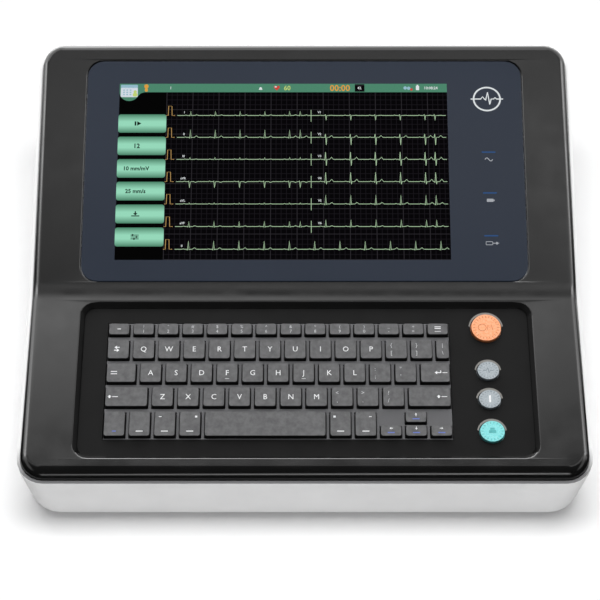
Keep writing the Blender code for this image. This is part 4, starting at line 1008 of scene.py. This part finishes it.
def make_world():
    """Even light for matt surfaces. Shiny ones see dark walls with a few softboxes instead."""
    world = bpy.data.worlds.new("studio")
    bpy.context.scene.world = world
    world.use_nodes = True
    sky = Graph(world.node_tree)
    split = sky.nodes.new("ShaderNodeSeparateXYZ")
    sky.links.new(sky.nodes.new("ShaderNodeTexCoord").outputs["Generated"], split.inputs["Vector"])
    x, y, z = (split.outputs[k] for k in "XYZ")
    ramp = sky.nodes.new("ShaderNodeValToRGB")
    sky.links.new(sky.remap(y, 0, 1, -1, 1), ramp.inputs["Fac"])
    stops = ramp.color_ramp.elements
    while len(stops) < len(REFLECTED):
        stops.new(0.5)
    for stop, (at, value) in zip(stops, REFLECTED):
        stop.position = (at + 1) / 2
        stop.color = (value / BRIGHTEST,) * 3 + (1,)
    side = sky.maths("ABSOLUTE", x)
    strip = sky.maths("MULTIPLY", sky.remap(side, 0, 1, 0.62, 0.72), sky.remap(z, 0, 1, 0.26, 0.38))
    window = sky.maths("MULTIPLY", sky.remap(y, 0, 6.5, 0.16, 0.22), sky.remap(y, 1, 0, 0.28, 0.34))
    strip = sky.maths("MULTIPLY", strip, sky.maths("ADD", window, 1.0))
    lean = sky.maths("MULTIPLY", sky.remap(x, -0.2, 0.2, -0.2, 0.2), sky.remap(y, 1.9, -1.0, 0.04, 0.29))
    walls = sky.maths("MULTIPLY", ramp.outputs["Color"], sky.maths("ADD", lean, 1.0))
    seen = sky.maths("MULTIPLY_ADD", walls, BRIGHTEST, strip)
    seen = sky.maths("MULTIPLY", seen, sky.remap(z, 0, 1, -0.04, 0.04))
    behind = sky.maths("MULTIPLY", sky.remap(z, 1, 0, -0.04, 0.04), sky.remap(y, 0, 1, 0.4, 0.6))
    seen = sky.maths("MULTIPLY_ADD", behind, 3.2, seen)
    rays = sky.nodes.new("ShaderNodeLightPath").outputs
    ambient = sky.mix(rays["Is Camera Ray"], (0.3, 0.3, 0.303, 1), (0.97, 0.97, 0.97, 1))
    colour = sky.mix(rays["Is Glossy Ray"], ambient, seen)
    sky.links.new(colour, sky.nodes["Background"].inputs["Color"])


CAMERA_LENS = 97.2
CAMERA_ELEVATION = math.radians(60.5)
CAMERA_DISTANCE = 1.062
CAMERA_TARGET = Vector((-0.003, -0.0292, 0.0710))


def make_camera():
    camera = bpy.data.objects.new("camera", bpy.data.cameras.new("camera"))
    bpy.context.scene.collection.objects.link(camera)
    camera.data.sensor_width = 36
    camera.data.lens = CAMERA_LENS
    back = Vector((0, -math.cos(CAMERA_ELEVATION), math.sin(CAMERA_ELEVATION)))
    camera.location = CAMERA_TARGET + back * CAMERA_DISTANCE
    camera.rotation_euler = (math.pi / 2 - CAMERA_ELEVATION, 0, 0)
    bpy.context.scene.camera = camera
    bpy.context.scene.view_settings.view_transform = "Standard"


# What shiny surfaces see, as (sine of the angle towards the back, brightness), front to back
BRIGHTEST = 8.0
REFLECTED = (
    (-1.0, 3.4),
    (-0.975, 3.4),
    (-0.94, 0.0),
    (-0.1, 0.02),
    (0.0, 0.5),
    (0.04, 0.7),
    (0.085, 1.2),
    (0.13, 1.4),
    (0.17, 0.8),
    (0.22, 0.5),
    (0.267, 0.35),
    (0.287, 0.9),
    (0.318, 1.75),
    (0.348, 2.6),
    (0.37, 2.6),
    (0.6, 2.6),
    (0.74, 3.0),
    (0.8, 8.0),
    (0.97, 8.0),
    (1.0, 4.0),
)

look = looks()
make_camera()
make_stage()
keep_nodes(look)
deck = Plane("keyboard_tray")
make_picture(look)
make_legends(look, deck)
make_button_marks(look, deck)
make_rear(look)
